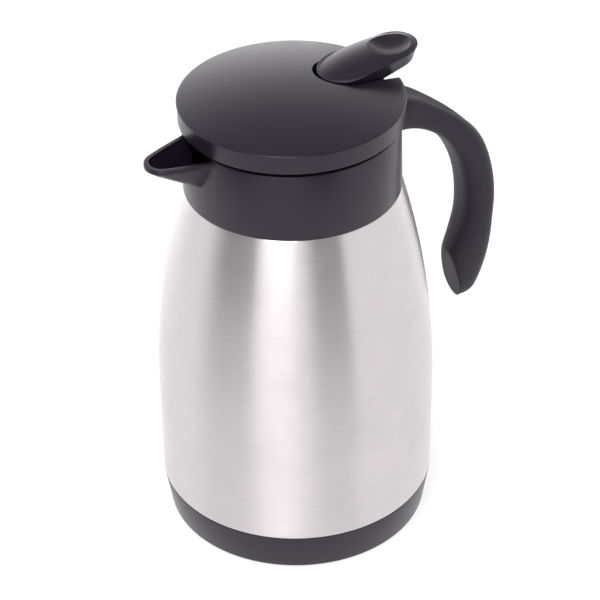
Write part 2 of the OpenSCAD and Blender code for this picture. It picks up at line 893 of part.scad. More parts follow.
// Ball that hollows the thumb dish
module dish_ball() {
  ball_r = (dish_r * dish_r + dish_depth * dish_depth) / (2 * dish_depth);
  dish_x = lever_rear_x - 1.6;
  side_h = lever_crown
         * (1 - pow(dish_r / lever_front_r, 2) - pow((dish_x - lever_mid_x) / lever_half_l, 2));
  translate([dish_x, 0, lever_top(dish_x) + side_h - dish_depth + ball_r])
    sphere(r = ball_r, $fn = fine);
}

// Thumb lever: pressing its rear end lifts the nose and the valve stem
web_front = 8;
web_l = 10;
module thumb_lever() {
  color(black_colour)
    difference() {
      union() {
        intersection() {
          lever_blank();
          lever_barrel();
        }
        translate([nose_x, -nose_half_w, nose_z])
          cube([pin_x - nose_x, 2 * nose_half_w, nose_h]);
        translate([pin_x - web_front, -cheek_in + 0.2, nose_z])
          cube([web_l, 2 * cheek_in - 0.4, lever_under(pin_x) + 1.5 - nose_z]);
        translate([pin_x, 0, pin_z])
          rotate([90, 0, 0])
            cylinder(r = boss_r, h = 2 * cheek_in - 0.4, center = true, $fn = medium);
      }
      dish_ball();
      translate([pin_x, 0, pin_z])
        rotate([90, 0, 0])
          cylinder(r = pin_r + running, h = 4 * cheek_in, center = true, $fn = medium);
      translate([0, 0, nose_z - past])
        cylinder(r = stem_r + 0.5, h = nose_h + 2 * past, $fn = medium);
      translate([nose_x - past, -stem_r - 0.5, nose_z - past])
        cube([-nose_x + past, 2 * stem_r + 1, nose_h + 2 * past]);
    }
}

// Seal that keeps the drink out of the lever's well
module stem_seal() {
  color(rubber_colour)
    rotate_extrude($fn = medium)
      translate([stem_r + 2 * running, gland_boss_z + gland_shoulder + snug])
        square([gland_r - stem_r - 3 * running, deck_top - gland_boss_z - gland_shoulder - 2 * snug]);
}

// Valve stem: lifts the disc when the lever is pressed
valve_screw_l = 8;
module valve_stem() {
  color(clear_colour)
    difference() {
      translate([0, 0, disc_top])
        cylinder(r = stem_r, h = stem_top - disc_top, $fn = medium);
      translate([0, 0, disc_top - past])
        cylinder(r = screw_r + snug, h = valve_screw_l + past, $fn = coarse);
    }
}

// Cap on the stem that the lever's nose lifts
module stem_cap() {
  color(dark_colour)
    translate([0, 0, cap_z])
      difference() {
        cylinder(r = cap_r, h = cap_h, $fn = medium);
        translate([0, 0, -past])
          cylinder(r = stem_r + snug, h = cap_h + 2 * past, $fn = medium);
      }
}

// Valve disc: rests on the seat's lip through its seal
module valve_disc() {
  color(clear_colour)
    rotate_extrude($fn = fine)
      difference() {
        union() {
          translate([0, disc_z])
            square([disc_r, disc_t]);
          translate([0, disc_z - seal_t])
            square([port_r - 1.5, seal_t]);
        }
        translate([0, disc_z - seal_t - past])
          square([screw_r + snug, disc_t + seal_t + 2 * past]);
      }
}

// Seal under the disc, round its raised middle
module valve_seal() {
  color(rubber_colour)
    rotate_extrude($fn = fine)
      translate([port_r - 1.5 + snug, disc_z - seal_t])
        square([seal_w, seal_t]);
}

// Screw that holds the disc to the stem
module valve_screw() {
  color(bright_colour)
    translate([0, 0, disc_z - seal_t])
      screw(disc_t + seal_t + valve_screw_l - 0.5);
}

// Return spring: one wire wound round the stem, its ends turned flat
wire_sides = 6;
turn_steps = 16;
spring_low = disc_top + spring_wire / 2;
spring_high = gland_boss_z - spring_wire / 2;
spring_count = (spring_turns + 2) * turn_steps;
closed_turn = spring_wire + 0.1;
// Height of the wire's middle after some turns: the end turns lie closed
function spring_climb(turns) = lookup(turns, [
  [0, spring_low], [1, spring_low + closed_turn],
  [spring_turns + 1, spring_high - closed_turn], [spring_turns + 2, spring_high]
]);
function spring_mid(turns) =
  [spring_r * cos(360 * turns), spring_r * sin(360 * turns), spring_climb(turns)];
module valve_spring() {
  points = [
    for (i = [0 : spring_count])
      let (
        m = spring_mid(i / turn_steps),
        out = [m.x, m.y, 0] / spring_r
      )
      for (k = [0 : wire_sides - 1])
        let (a = 360 * k / wire_sides)
          m + (out * cos(a) + [0, 0, 1] * sin(a)) * spring_wire / 2
  ];
  walls = [
    for (i = [0 : spring_count - 1])
      for (k = [0 : wire_sides - 1])
        let (
          a = i * wire_sides + k, b = i * wire_sides + (k + 1) % wire_sides,
          c = b + wire_sides, d = a + wire_sides
        )
        each [[a, b, c], [a, c, d]]
  ];
  ends = [
    [for (k = [wire_sides - 1 : -1 : 0]) k],
    [for (k = [0 : wire_sides - 1]) spring_count * wire_sides + k]
  ];
  color(bright_colour)
    polyhedron(points, concat(walls, ends), convexity = 6);
}

outer_shell();
shell_bottom();
vacuum_seal();
getter_disc();
inner_vessel();
base_cup();
foot_ring();
collar();
rim_gasket();
handle();
handle_screws();
lid_cover();
stopper();
stopper_gasket();
lever_cradle();
cradle_screws();
lever_pin();
thumb_lever();
stem_seal();
valve_stem();
stem_cap();
valve_disc();
valve_seal();
valve_screw();
valve_spring();
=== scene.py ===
"""Looks of a vacuum carafe with a stopper lid and a thumb lever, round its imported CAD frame.

Meshes are worked out in millimetres and laid down in metres, in the CAD's frame: +Z up, the
handle towards +X and the spout towards -X.
"""

import logging
import math
from dataclasses import dataclass, field
from enum import Enum
from typing import Any, Iterable, Sequence

import bmesh
import bpy
from mathutils import Matrix, Vector


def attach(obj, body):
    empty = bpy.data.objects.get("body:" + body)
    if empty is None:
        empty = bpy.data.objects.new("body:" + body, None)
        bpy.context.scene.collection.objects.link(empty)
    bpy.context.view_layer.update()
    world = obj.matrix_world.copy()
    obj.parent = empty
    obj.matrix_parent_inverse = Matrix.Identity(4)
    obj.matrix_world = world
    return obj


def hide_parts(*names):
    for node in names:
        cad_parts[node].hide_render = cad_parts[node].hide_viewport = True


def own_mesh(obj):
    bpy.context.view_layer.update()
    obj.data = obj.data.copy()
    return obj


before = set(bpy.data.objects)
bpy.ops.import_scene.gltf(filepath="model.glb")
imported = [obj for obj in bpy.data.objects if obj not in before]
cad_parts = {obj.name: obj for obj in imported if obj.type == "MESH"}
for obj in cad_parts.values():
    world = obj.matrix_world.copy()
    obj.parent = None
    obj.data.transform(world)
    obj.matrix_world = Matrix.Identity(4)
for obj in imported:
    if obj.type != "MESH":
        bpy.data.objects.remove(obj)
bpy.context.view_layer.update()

log = logging.getLogger("carafe")
MM = 0.001
Colour = tuple[float, float, float]
Profile = Sequence[tuple[float, float]]


class Body(Enum):
    """The bodies that pieces ride on."""

    VESSEL = "vessel"
    LID = "lid"
    LID_SEAL = "lid_seal"
    LEVER = "lever"
    VALVE = "valve"


class Slot(Enum):
    """The record's material slots."""

    STEEL = "brushed_steel"
    INNER_STEEL = "inner_steel"
    BLACK = "black_plastic"
    INNER_PLASTIC = "inner_plastic"
    RUBBER = "seal_rubber"
    FASTENER = "fastener_steel"
    SOLDER = "solder"


# Node trees


class Term:
    """A value in a node tree, with arithmetic that adds Math nodes."""

    def __init__(self, desk: "NodeDesk", socket: bpy.types.NodeSocket) -> None:
        """Wraps a socket.

        Args:
            desk: The desk whose tree the socket belongs to.
            socket: An output socket.
        """
        self.desk = desk
        self.socket = socket

    def _calc(self, operation: str, *values: Any) -> "Term":
        """Adds one Math node and returns its result."""
        return self.desk.calc(operation, *values)

    def __add__(self, other: Any) -> "Term":
        """self + other."""
        return self._calc("ADD", self, other)

    def __radd__(self, other: Any) -> "Term":
        """other + self."""
        return self._calc("ADD", other, self)

    def __sub__(self, other: Any) -> "Term":
        """self - other."""
        return self._calc("SUBTRACT", self, other)

    def __rsub__(self, other: Any) -> "Term":
        """other - self."""
        return self._calc("SUBTRACT", other, self)

    def __mul__(self, other: Any) -> "Term":
        """self * other."""
        return self._calc("MULTIPLY", self, other)

    def __rmul__(self, other: Any) -> "Term":
        """other * self."""
        return self._calc("MULTIPLY", other, self)

    def __truediv__(self, other: Any) -> "Term":
        """self / other."""
        return self._calc("DIVIDE", self, other)

    def __rtruediv__(self, other: Any) -> "Term":
        """other / self."""
        return self._calc("DIVIDE", other, self)


class NodeDesk:
    """Adds nodes to one node tree."""

    def __init__(self, tree: bpy.types.NodeTree) -> None:
        """Opens a desk on a tree.

        Args:
            tree: The tree that receives the nodes.
        """
        self.tree = tree

    def node(self, kind: str, settings: dict[str, Any] | None = None,
             sockets: dict[Any, Any] | None = None) -> bpy.types.Node:
        """Adds one node, makes its settings and then fills its sockets.

        Args:
            kind: The node's type.
            settings: Attributes of the node. "stops" fills a ramp with (place, colour) pairs.
            sockets: Values, Terms or sockets by input name or number.

        Returns:
            The new node.
        """
        made = self.tree.nodes.new(kind)
        for key, value in (settings or {}).items():
            if key == "stops":
                self._fill_ramp(made.color_ramp, value)
            else:
                setattr(made, key, value)
        for key, value in (sockets or {}).items():
            self.plug(made.inputs[key], value)
        return made

    @staticmethod
    def _fill_ramp(ramp: bpy.types.ColorRamp, stops: Sequence[tuple[float, float]]) -> None:
        """Sets a ramp's stops to grey levels."""
        while len(ramp.elements) < len(stops):
            ramp.elements.new(1.0)
        for element, (place, level) in zip(ramp.elements, stops):
            element.position = place
            element.color = (level, level, level, 1.0)

    def plug(self, target: bpy.types.NodeSocket, value: Any) -> None:
        """Links a Term or socket to an input, or sets the input's own value."""
        if isinstance(value, Term):
            value = value.socket
        if isinstance(value, bpy.types.NodeSocket):
            self.tree.links.new(value, target)
        elif target.type == "RGBA" and len(value) == 3:
            target.default_value = (*value, 1.0)
        else:
            target.default_value = value

    def calc(self, operation: str, *values: Any) -> Term:
        """Adds one Math node.

        Args:
            operation: The Math node's operation.
            values: Its inputs in order.

        Returns:
            The node's result.
        """
        made = self.node("ShaderNodeMath", {"operation": operation}, dict(enumerate(values)))
        return Term(self, made.outputs[0])

    def term(self, kind: str, output: str, settings: dict[str, Any] | None = None,
             sockets: dict[Any, Any] | None = None) -> Term:
        """Adds one node and returns one of its outputs as a Term."""
        return Term(self, self.node(kind, settings, sockets).outputs[output])


class FinishDesk(NodeDesk):
    """A desk for one material, with the steps that several finishes share."""

    def __init__(self, name: str) -> None:
        """Makes an empty material with its output.

        Args:
            name: The material's name.
        """
        self.material = bpy.data.materials.new(name)
        self.material.use_nodes = True
        super().__init__(self.material.node_tree)
        self.tree.nodes.clear()
        self.place = self.term("ShaderNodeTexCoord", "Object")

    def stretched(self, scale: tuple[float, float, float]) -> Term:
        """Object coordinates times a scale for each axis."""
        return self.term("ShaderNodeVectorMath", "Vector", {"operation": "MULTIPLY"},
                         {0: self.place, 1: scale})

    def noise(self, where: Term, scale: float, detail: float = 2.0, rough: float = 0.5) -> Term:
        """Noise from 0 to 1.

        Args:
            where: The coordinates to read.
            scale: Cells to a metre of those coordinates.
            detail: Octaves.
            rough: How strongly the finer octaves count.

        Returns:
            The noise value.
        """
        return self.term("ShaderNodeTexNoise", "Fac", {"noise_dimensions": "3D"},
                         {"Vector": where, "Scale": scale, "Detail": detail, "Roughness": rough})

    def blend(self, factor: Any, low: Any, high: Any) -> Term:
        """A colour between two colours."""
        made = self.node("ShaderNodeMix", {"data_type": "RGBA"},
                         {0: factor, 6: low, 7: high})
        return Term(self, made.outputs[2])

    def soft_edges(self, radius: float) -> Term:
        """Normals that round every hard edge by a radius in metres."""
        return self.term("ShaderNodeBevel", "Normal", {"samples": 6}, {"Radius": radius})

    def bump(self, height: Term, depth: float, under: Term | None = None) -> Term:
        """Normals of a relief.

        Args:
            height: The relief from 0 to 1.
            depth: How far 1 stands out, in metres.
            under: Normals that the relief is laid on.

        Returns:
            The bent normals.
        """
        sockets: dict[Any, Any] = {"Height": height, "Distance": depth, "Strength": 1.0}
        if under is not None:
            sockets["Normal"] = under
        return self.term("ShaderNodeBump", "Normal", None, sockets)

    def close(self, sockets: dict[str, Any]) -> bpy.types.Material:
        """Adds the Principled shader and the output.

        Args:
            sockets: The shader's inputs.

        Returns:
            The finished material.
        """
        shader = self.node("ShaderNodeBsdfPrincipled", None, sockets)
        self.node("ShaderNodeOutputMaterial", None, {"Surface": shader.outputs[0]})
        return self.material


# Finishes


@dataclass(frozen=True)
class BrushedSteel:
    """Stainless steel brushed round the body."""

    name: str
    tone: Colour = (0.698, 0.660, 0.675)
    roughness: float = 0.34
    stretch: float = 0.96
    line_depth: float = 0.000012
    lines_per_m: float = 1800.0
    streak_rough: float = 0.03
    cloud_rough: float = 0.08
    streak_shade: float = 0.45
    cloud_shade: float = 0.8
    dim_by: float = 0.80
    pale_by: float = 1.12

    def make(self) -> bpy.types.Material:
        """Builds the material."""
        desk = FinishDesk(self.name)
        fine = desk.noise(desk.stretched((90.0, 90.0, self.lines_per_m)), 1.0, 3.0, 0.7)
        long = desk.noise(desk.stretched((25.0, 25.0, 0.8 * self.lines_per_m)), 1.0, 2.0)
        cloud = desk.noise(desk.place, 30.0, 4.0, 0.6)
        relief = fine * 0.8 + long * 0.2
        streak = (fine - 0.5) * 1.3 + (long - 0.5) * 0.3
        rough = self.roughness + streak * self.streak_rough + (cloud - 0.5) * self.cloud_rough
        shade = streak * self.streak_shade + (cloud - 0.5) * self.cloud_shade + 0.5
        dim = tuple(channel * self.dim_by for channel in self.tone)
        pale = tuple(min(channel * self.pale_by, 1.0) for channel in self.tone)
        return desk.close({
            "Base Color": desk.blend(shade, dim, pale),
            "Metallic": 1.0,
            "Roughness": rough,
            "Anisotropic": self.stretch,
            "Anisotropic Rotation": 0.25,
            "Normal": desk.bump(relief, self.line_depth),
        })


@dataclass(frozen=True)
class SatinPlastic:
    """Moulded plastic with the fine grain of a spark-eroded mould."""

    name: str
    tone: Colour = (0.0095, 0.0065, 0.0125)
    roughness: float = 0.31
    gloss: float = 0.44
    sheen: Colour = (0.95, 0.89, 1.0)
    grain_m: float = 0.00035
    grain_depth: float = 0.000010
    edge_m: float = 0.0004
    cloud_rough: float = 0.10
    speck_rough: float = 0.06
    pale_by: float = 1.35

    def make(self) -> bpy.types.Material:
        """Builds the material."""
        desk = FinishDesk(self.name)
        grain = desk.noise(desk.place, 1.0 / self.grain_m, 2.0, 0.6)
        cloud = desk.noise(desk.place, 45.0, 3.0)
        speck = desk.noise(desk.place, 1400.0, 1.0)
        rough = (self.roughness + (cloud - 0.5) * self.cloud_rough
                 + (speck - 0.5) * self.speck_rough)
        pale = tuple(channel * self.pale_by for channel in self.tone)
        return desk.close({
            "Base Color": desk.blend(cloud * 0.6 + grain * 0.4, self.tone, pale),
            "Roughness": rough,
            "Specular IOR Level": self.gloss,
            "Specular Tint": (*self.sheen, 1.0),
            "Normal": desk.bump(grain, self.grain_depth, desk.soft_edges(self.edge_m)),
        })


@dataclass(frozen=True)
class SealRubber:
    """Dull black silicone rubber."""

    name: str
    tone: Colour = (0.014, 0.014, 0.015)
    roughness: float = 0.7
    dust_rough: float = 0.16
    dust_depth: float = 0.00002
    edge_m: float = 0.0002
    pale_by: float = 2.2

    def make(self) -> bpy.types.Material:
        """Builds the material."""
        desk = FinishDesk(self.name)
        dust = desk.noise(desk.place, 220.0, 4.0, 0.6)
        pale = tuple(channel * self.pale_by for channel in self.tone)
        return desk.close({
            "Base Color": desk.blend(dust, self.tone, pale),
            "Roughness": self.roughness + (dust - 0.5) * self.dust_rough,
            "Normal": desk.bump(dust, self.dust_depth, desk.soft_edges(self.edge_m)),
        })


@dataclass(frozen=True)
class TurnedMetal:
    """Plain metal with fine marks left by turning or drawing."""

    name: str
    tone: Colour = (0.56, 0.55, 0.54)
    roughness: float = 0.3
    marks_per_m: float = 2500.0
    marks_rough: float = 0.12
    cloud_rough: float = 0.08
    marks_depth: float = 0.000006
    edge_m: float = 0.0002
    dim_by: float = 0.8

    def make(self) -> bpy.types.Material:
        """Builds the material."""
        desk = FinishDesk(self.name)
        marks = desk.noise(desk.stretched((30.0, 30.0, self.marks_per_m)), 1.0, 2.0)
        cloud = desk.noise(desk.place, 120.0, 3.0)
        dim = tuple(channel * self.dim_by for channel in self.tone)
        return desk.close({
            "Base Color": desk.blend(cloud, dim, self.tone),
            "Metallic": 1.0,
            "Roughness": (self.roughness + (marks - 0.5) * self.marks_rough
                          + (cloud - 0.5) * self.cloud_rough),
            "Normal": desk.bump(marks, self.marks_depth, desk.soft_edges(self.edge_m)),
        })


@dataclass
class Finishes:
    """Every finish of the carafe, made once."""

    steel: bpy.types.Material = field(init=False)
    inner_steel: bpy.types.Material = field(init=False)
    black: bpy.types.Material = field(init=False)
    inner_plastic: bpy.types.Material = field(init=False)
    rubber: bpy.types.Material = field(init=False)
    fastener: bpy.types.Material = field(init=False)
    solder: bpy.types.Material = field(init=False)

    def __post_init__(self) -> None:
        """Makes the materials."""
        self.steel = BrushedSteel("brushed_steel").make()
        self.inner_steel = BrushedSteel("drawn_steel", (0.60, 0.59, 0.58), 0.34,
                                        lines_per_m=900.0).make()
        self.black = SatinPlastic("satin_black_plastic").make()
        self.inner_plastic = SatinPlastic("smooth_black_plastic", (0.014, 0.014, 0.016), 0.34,
                                          grain_depth=0.000004).make()
        self.rubber = SealRubber("seal_rubber").make()
        self.fastener = TurnedMetal("screw_steel").make()
        self.solder = TurnedMetal("dull_solder", (0.5, 0.5, 0.5), 0.5, 600.0).make()

    def of(self, slot: Slot) -> bpy.types.Material:
        """The finish of a material slot."""
        return {
            Slot.STEEL: self.steel,
            Slot.INNER_STEEL: self.inner_steel,
            Slot.BLACK: self.black,
            Slot.INNER_PLASTIC: self.inner_plastic,
            Slot.RUBBER: self.rubber,
            Slot.FASTENER: self.fastener,
            Slot.SOLDER: self.solder,
        }[slot]


# Shapes


@dataclass(frozen=True)
class Plan:
    """The carafe's driving sizes in millimetres, the same as the CAD's."""

    body_r: float = 64.0
    straight_z: float = 68.0
    shoulder_z: float = 174.4
    shoulder_r: float = 48.9
    neck_r: float = 46.3
    neck_h: float = 13.6
    mouth_r: float = 41.0
    shell_t: float = 0.6
    liner_t: float = 0.5
    vacuum_gap: float = 5.0
    liner_corner_r: float = 14.0
    base_h: float = 20.0
    base_inset: float = 3.2
    base_t: float = 2.1
    floor_t: float = 1.8
    foot_out: float = 0.8
    foot_w: float = 5.0
    foot_groove: float = 1.2
    collar_r: float = 48.2
    collar_h: float = 31.9
    collar_bore: float = 46.0
    rim_gasket_t: float = 1.3
    ledge_t: float = 1.6
    seat_drop: float = 2.5
    lid_r: float = 50.2
    skirt_h: float = 8.45
    skirt_gap: float = 2.55
    snug: float = 0.05
    seam: float = 0.2

    @property
    def rim_z(self) -> float:
        """Height of the steel rim."""
        return self.shoulder_z + self.neck_h

    @property
    def collar_top(self) -> float:
        """Height of the collar's top edge."""
        return self.shoulder_z + self.collar_h

    @property
    def ledge_z(self) -> float:
        """Height of the ledge's underside."""
        return self.rim_z + self.rim_gasket_t + self.seam / 2

    @property
    def ledge_top(self) -> float:
        """Height of the ledge's top."""
        return self.ledge_z + self.ledge_t

    @property
    def seat_z(self) -> float:
        """Height of the lid's seat."""
        return self.collar_top - self.seat_drop

    @property
    def edge_z(self) -> float:
        """Height where the lid's skirt meets its dome."""
        return self.collar_top + self.skirt_gap + self.skirt_h

    @property
    def base_r(self) -> float:
        """Radius of the base cup at the bottom."""
        return self.body_r - self.base_inset

    @property
    def curve_r(self) -> float:
        """Radius of the arc from the straight wall to the shoulder."""
        inward = self.body_r - self.shoulder_r
        return (inward ** 2 + (self.shoulder_z - self.straight_z) ** 2) / (2 * inward)

    def cup_r(self, z: float) -> float:
        """Outside radius of the base cup at a height."""
        return self.base_r + self.base_inset * z / self.base_h

    def tuck_r(self, z: float) -> float:
        """Outside radius of the steel inside the base cup."""
        return self.cup_r(z) - self.base_t - 2 * self.snug

    def belly_r(self, z: float, inset: float = 0.0) -> float:
        """Outside radius of the body at a height, drawn in by an inset."""
        if z <= self.straight_z:
            return self.body_r - inset
        return (self.body_r - self.curve_r
                + math.sqrt((self.curve_r - inset) ** 2 - (z - self.straight_z) ** 2))

    def collar_out(self, z: float) -> float:
        """Outside radius of the collar at a height."""
        low = self.shoulder_r - 2 * self.snug
        return low + (self.collar_r - low) * (z - self.shoulder_z) / self.collar_h


PLAN = Plan()


def steps(low: float, high: float, count: int) -> list[float]:
    """Evenly spaced values from low to high.

    Args:
        low: The first value.
        high: The last value.
        count: How many gaps lie between them.

    Returns:
        count + 1 values.
    """
    return [low + (high - low) * k / count for k in range(count + 1)]


def filleted(corners: Sequence[tuple[float, ...]], arc_steps: int = 5) -> list[tuple[float, float]]:
    """A closed profile whose corners are rounded.

    Args:
        corners: Points (radius, height) or (radius, height, fillet radius).
        arc_steps: Straight pieces in each fillet.

    Returns:
        The profile, with its first point repeated at the end.
    """
    points: list[tuple[float, float]] = []
    count = len(corners)
    for k, corner in enumerate(corners):
        here = Vector(corner[:2])
        if len(corner) < 3:
            points.append(tuple(here))
            continue
        back = Vector(corners[k - 1][:2]) - here
        on = Vector(corners[(k + 1) % count][:2]) - here
        half = back.angle(on) / 2
        reach = min(corner[2] / math.tan(half), back.length * 0.48, on.length * 0.48)
        radius = reach * math.tan(half)
        middle = here + (back.normalized() + on.normalized()).normalized() * radius / math.sin(half)
        first, last = here + back.normalized() * reach, here + on.normalized() * reach
        for t in steps(0.0, 1.0, arc_steps):
            toward = (first - middle).slerp(last - middle, t).normalized()
            points.append(tuple(middle + toward * radius))
    return points + [points[0]]


def polygon_mesh(name: str, points: Iterable[Any], faces: Iterable[Any] = (),
                 edges: Iterable[Any] = ()) -> bpy.types.Mesh:
    """A mesh of points given in millimetres."""
    mesh = bpy.data.meshes.new(name)
    mesh.from_pydata([tuple(c * MM for c in p) for p in points], list(edges), list(faces))
    return mesh


def tidied(mesh: bpy.types.Mesh, join_mm: float = 0.001) -> bpy.types.Mesh:
    """Joins a closed mesh's doubles and turns its faces outwards."""
    work = bmesh.new()
    work.from_mesh(mesh)
    bmesh.ops.remove_doubles(work, verts=work.verts, dist=join_mm * MM)
    bmesh.ops.recalc_face_normals(work, faces=work.faces)
    work.to_mesh(mesh)
    work.free()
    return mesh


def evaluated(thing: bpy.types.Object) -> bpy.types.Mesh:
    """The mesh of an object with its modifiers worked out; the object is removed."""
    graph = bpy.context.evaluated_depsgraph_get()
    mesh = bpy.data.meshes.new_from_object(thing.evaluated_get(graph))
    thing.modifiers.clear()
    bpy.data.objects.remove(thing)
    return mesh


def placed(name: str, mesh: bpy.types.Mesh) -> bpy.types.Object:
    """An object in the scene that holds a mesh."""
    thing = bpy.data.objects.new(name, mesh)
    bpy.context.scene.collection.objects.link(thing)
    return thing


class Boolean(Enum):
    """How two solids are put together."""

    JOIN = "UNION"
    CUT = "DIFFERENCE"
    KEEP = "INTERSECT"


def combined(base: bpy.types.Mesh, *parts: tuple[Boolean, bpy.types.Mesh]) -> bpy.types.Mesh:
    """Puts solids together one after another.

    Args:
        base: The first solid.
        parts: How each further solid acts, and its mesh.

    Returns:
        The combined solid.
    """
    work = placed("work", base)
    tools = []
    for how, mesh in parts:
        tools.append(placed("tool", mesh))
        step = work.modifiers.new("step", "BOOLEAN")
        step.operation, step.solver, step.object = how.value, "EXACT", tools[-1]
    result = evaluated(work)
    for tool in tools:
        bpy.data.objects.remove(tool)
    return result


def hull_mesh(points: Iterable[Sequence[float]]) -> bpy.types.Mesh:
    """The convex hull of points given in millimetres."""
    work = bmesh.new()
    for point in points:
        work.verts.new([c * MM for c in point])
    bmesh.ops.remove_doubles(work, verts=work.verts, dist=1e-6)
    found = bmesh.ops.convex_hull(work, input=work.verts)
    spare = [v for v in found["geom_interior"] if isinstance(v, bmesh.types.BMVert)]
    bmesh.ops.delete(work, geom=spare, context="VERTS")
    bmesh.ops.recalc_face_normals(work, faces=work.faces)
    mesh = bpy.data.meshes.new("hull")
    work.to_mesh(mesh)
    work.free()
    return mesh


def sliced(mesh: bpy.types.Mesh, point: Sequence[float], normal: Sequence[float],
           round_mm: float = 0.0) -> bpy.types.Mesh:
    """Cuts off what lies on a plane's front side and closes the cut.

    Args:
        mesh: A closed mesh, in metres.
        point: A point of the plane, in millimetres.
        normal: The plane's direction.
        round_mm: Radius of the rounded edge along the cut.

    Returns:
        The same mesh, cut.
    """
    work = bmesh.new()
    work.from_mesh(mesh)
    cut = bmesh.ops.bisect_plane(
        work, geom=[*work.verts, *work.edges, *work.faces], dist=1e-7,
        plane_co=Vector(point) * MM, plane_no=Vector(normal), clear_outer=True)
    rim = [e for e in cut["geom_cut"] if isinstance(e, bmesh.types.BMEdge)]
    made = bmesh.ops.holes_fill(work, edges=rim, sides=0)["faces"]
    if round_mm:
        edges = list({edge for face in made for edge in face.edges})
        bmesh.ops.bevel(work, geom=edges, offset=round_mm * MM, segments=3, profile=0.5,
                        affect="EDGES", clamp_overlap=True)
    bmesh.ops.recalc_face_normals(work, faces=work.faces)
    work.to_mesh(mesh)
    work.free()
    return mesh


def box_mesh(low: Sequence[float], high: Sequence[float]) -> bpy.types.Mesh:
    """A block between two corners, in millimetres."""
    return hull_mesh([(x, y, z) for x in (low[0], high[0]) for y in (low[1], high[1])
                      for z in (low[2], high[2])])


def ball_points(centre: Sequence[float], radius: float, around: int) -> list[Vector]:
    """Points all over a ball, in millimetres."""
    return [
        Vector(centre) + radius * Vector((math.cos(a) * math.cos(b), math.sin(a) * math.cos(b),
                                          math.sin(b)))
        for a in steps(0.0, 2 * math.pi, around)
        for b in steps(-math.pi / 2, math.pi / 2, around // 2)
    ]


def ring_points(centre: Sequence[float], radius: float, around: int = 96) -> list[Vector]:
    """Points of a level circle, in millimetres."""
    return [Vector(centre) + radius * Vector((math.cos(a), math.sin(a), 0.0))
            for a in steps(0.0, 2 * math.pi, around)[:-1]]


def loft(rings: Sequence[Sequence[Sequence[float]]], name: str = "loft") -> bpy.types.Mesh:
    """A closed mesh through rings of equally many points, capped at both ends.

    Args:
        rings: Rings of points in millimetres.
        name: The mesh's name.

    Returns:
        The mesh.
    """
    count = len(rings[0])
    faces: list[list[int]] = [
        [i * count + k, i * count + (k + 1) % count,
         (i + 1) * count + (k + 1) % count, (i + 1) * count + k]
        for i in range(len(rings) - 1) for k in range(count)
    ]
    faces += [list(range(count)), [(len(rings) - 1) * count + k for k in range(count)]]
    return tidied(polygon_mesh(name, [p for ring in rings for p in ring], faces))


# Geometry node trees


class ShapeTree:
    """A Geometry Nodes tree with named inputs."""

    def __init__(self, name: str, inputs: dict[str, str]) -> None:
        """Makes the tree's sockets.

        Args:
            name: The tree's name.
            inputs: Socket kind by input name.
        """
        self.tree = bpy.data.node_groups.new(name, "GeometryNodeTree")
        face = self.tree.interface
        face.new_socket("Geometry", in_out="INPUT", socket_type="NodeSocketGeometry")
        for label, kind in inputs.items():
            face.new_socket(label, in_out="INPUT", socket_type="NodeSocket" + kind)
        face.new_socket("Geometry", in_out="OUTPUT", socket_type="NodeSocketGeometry")
        self.desk = NodeDesk(self.tree)
        self.given = self.desk.node("NodeGroupInput")

    def value(self, label: str) -> Term:
        """A named input."""
        return Term(self.desk, self.given.outputs[label])

    def close(self, shape: Term) -> None:
        """Ends the tree with real geometry and its material."""
        real = self.desk.term("GeometryNodeRealizeInstances", "Geometry", None, {0: shape})
        dressed = self.desk.term("GeometryNodeSetMaterial", "Geometry", None,
                                 {"Geometry": real, "Material": self.value("Material")})
        self.desk.node("NodeGroupOutput", None, {0: dressed})

    def run(self, base: bpy.types.Mesh, inputs: dict[str, Any]) -> bpy.types.Mesh:
        """Runs the tree.

        Args:
            base: The mesh that the tree starts from.
            inputs: Value by input name.

        Returns:
            A plain mesh.
        """
        thing = placed("shape", base)
        step = thing.modifiers.new("tree", "NODES")
        step.node_group = self.tree
        for item in self.tree.interface.items_tree:
            if item.in_out == "INPUT" and item.name in inputs:
                step[item.identifier] = inputs[item.name]
        return evaluated(thing)


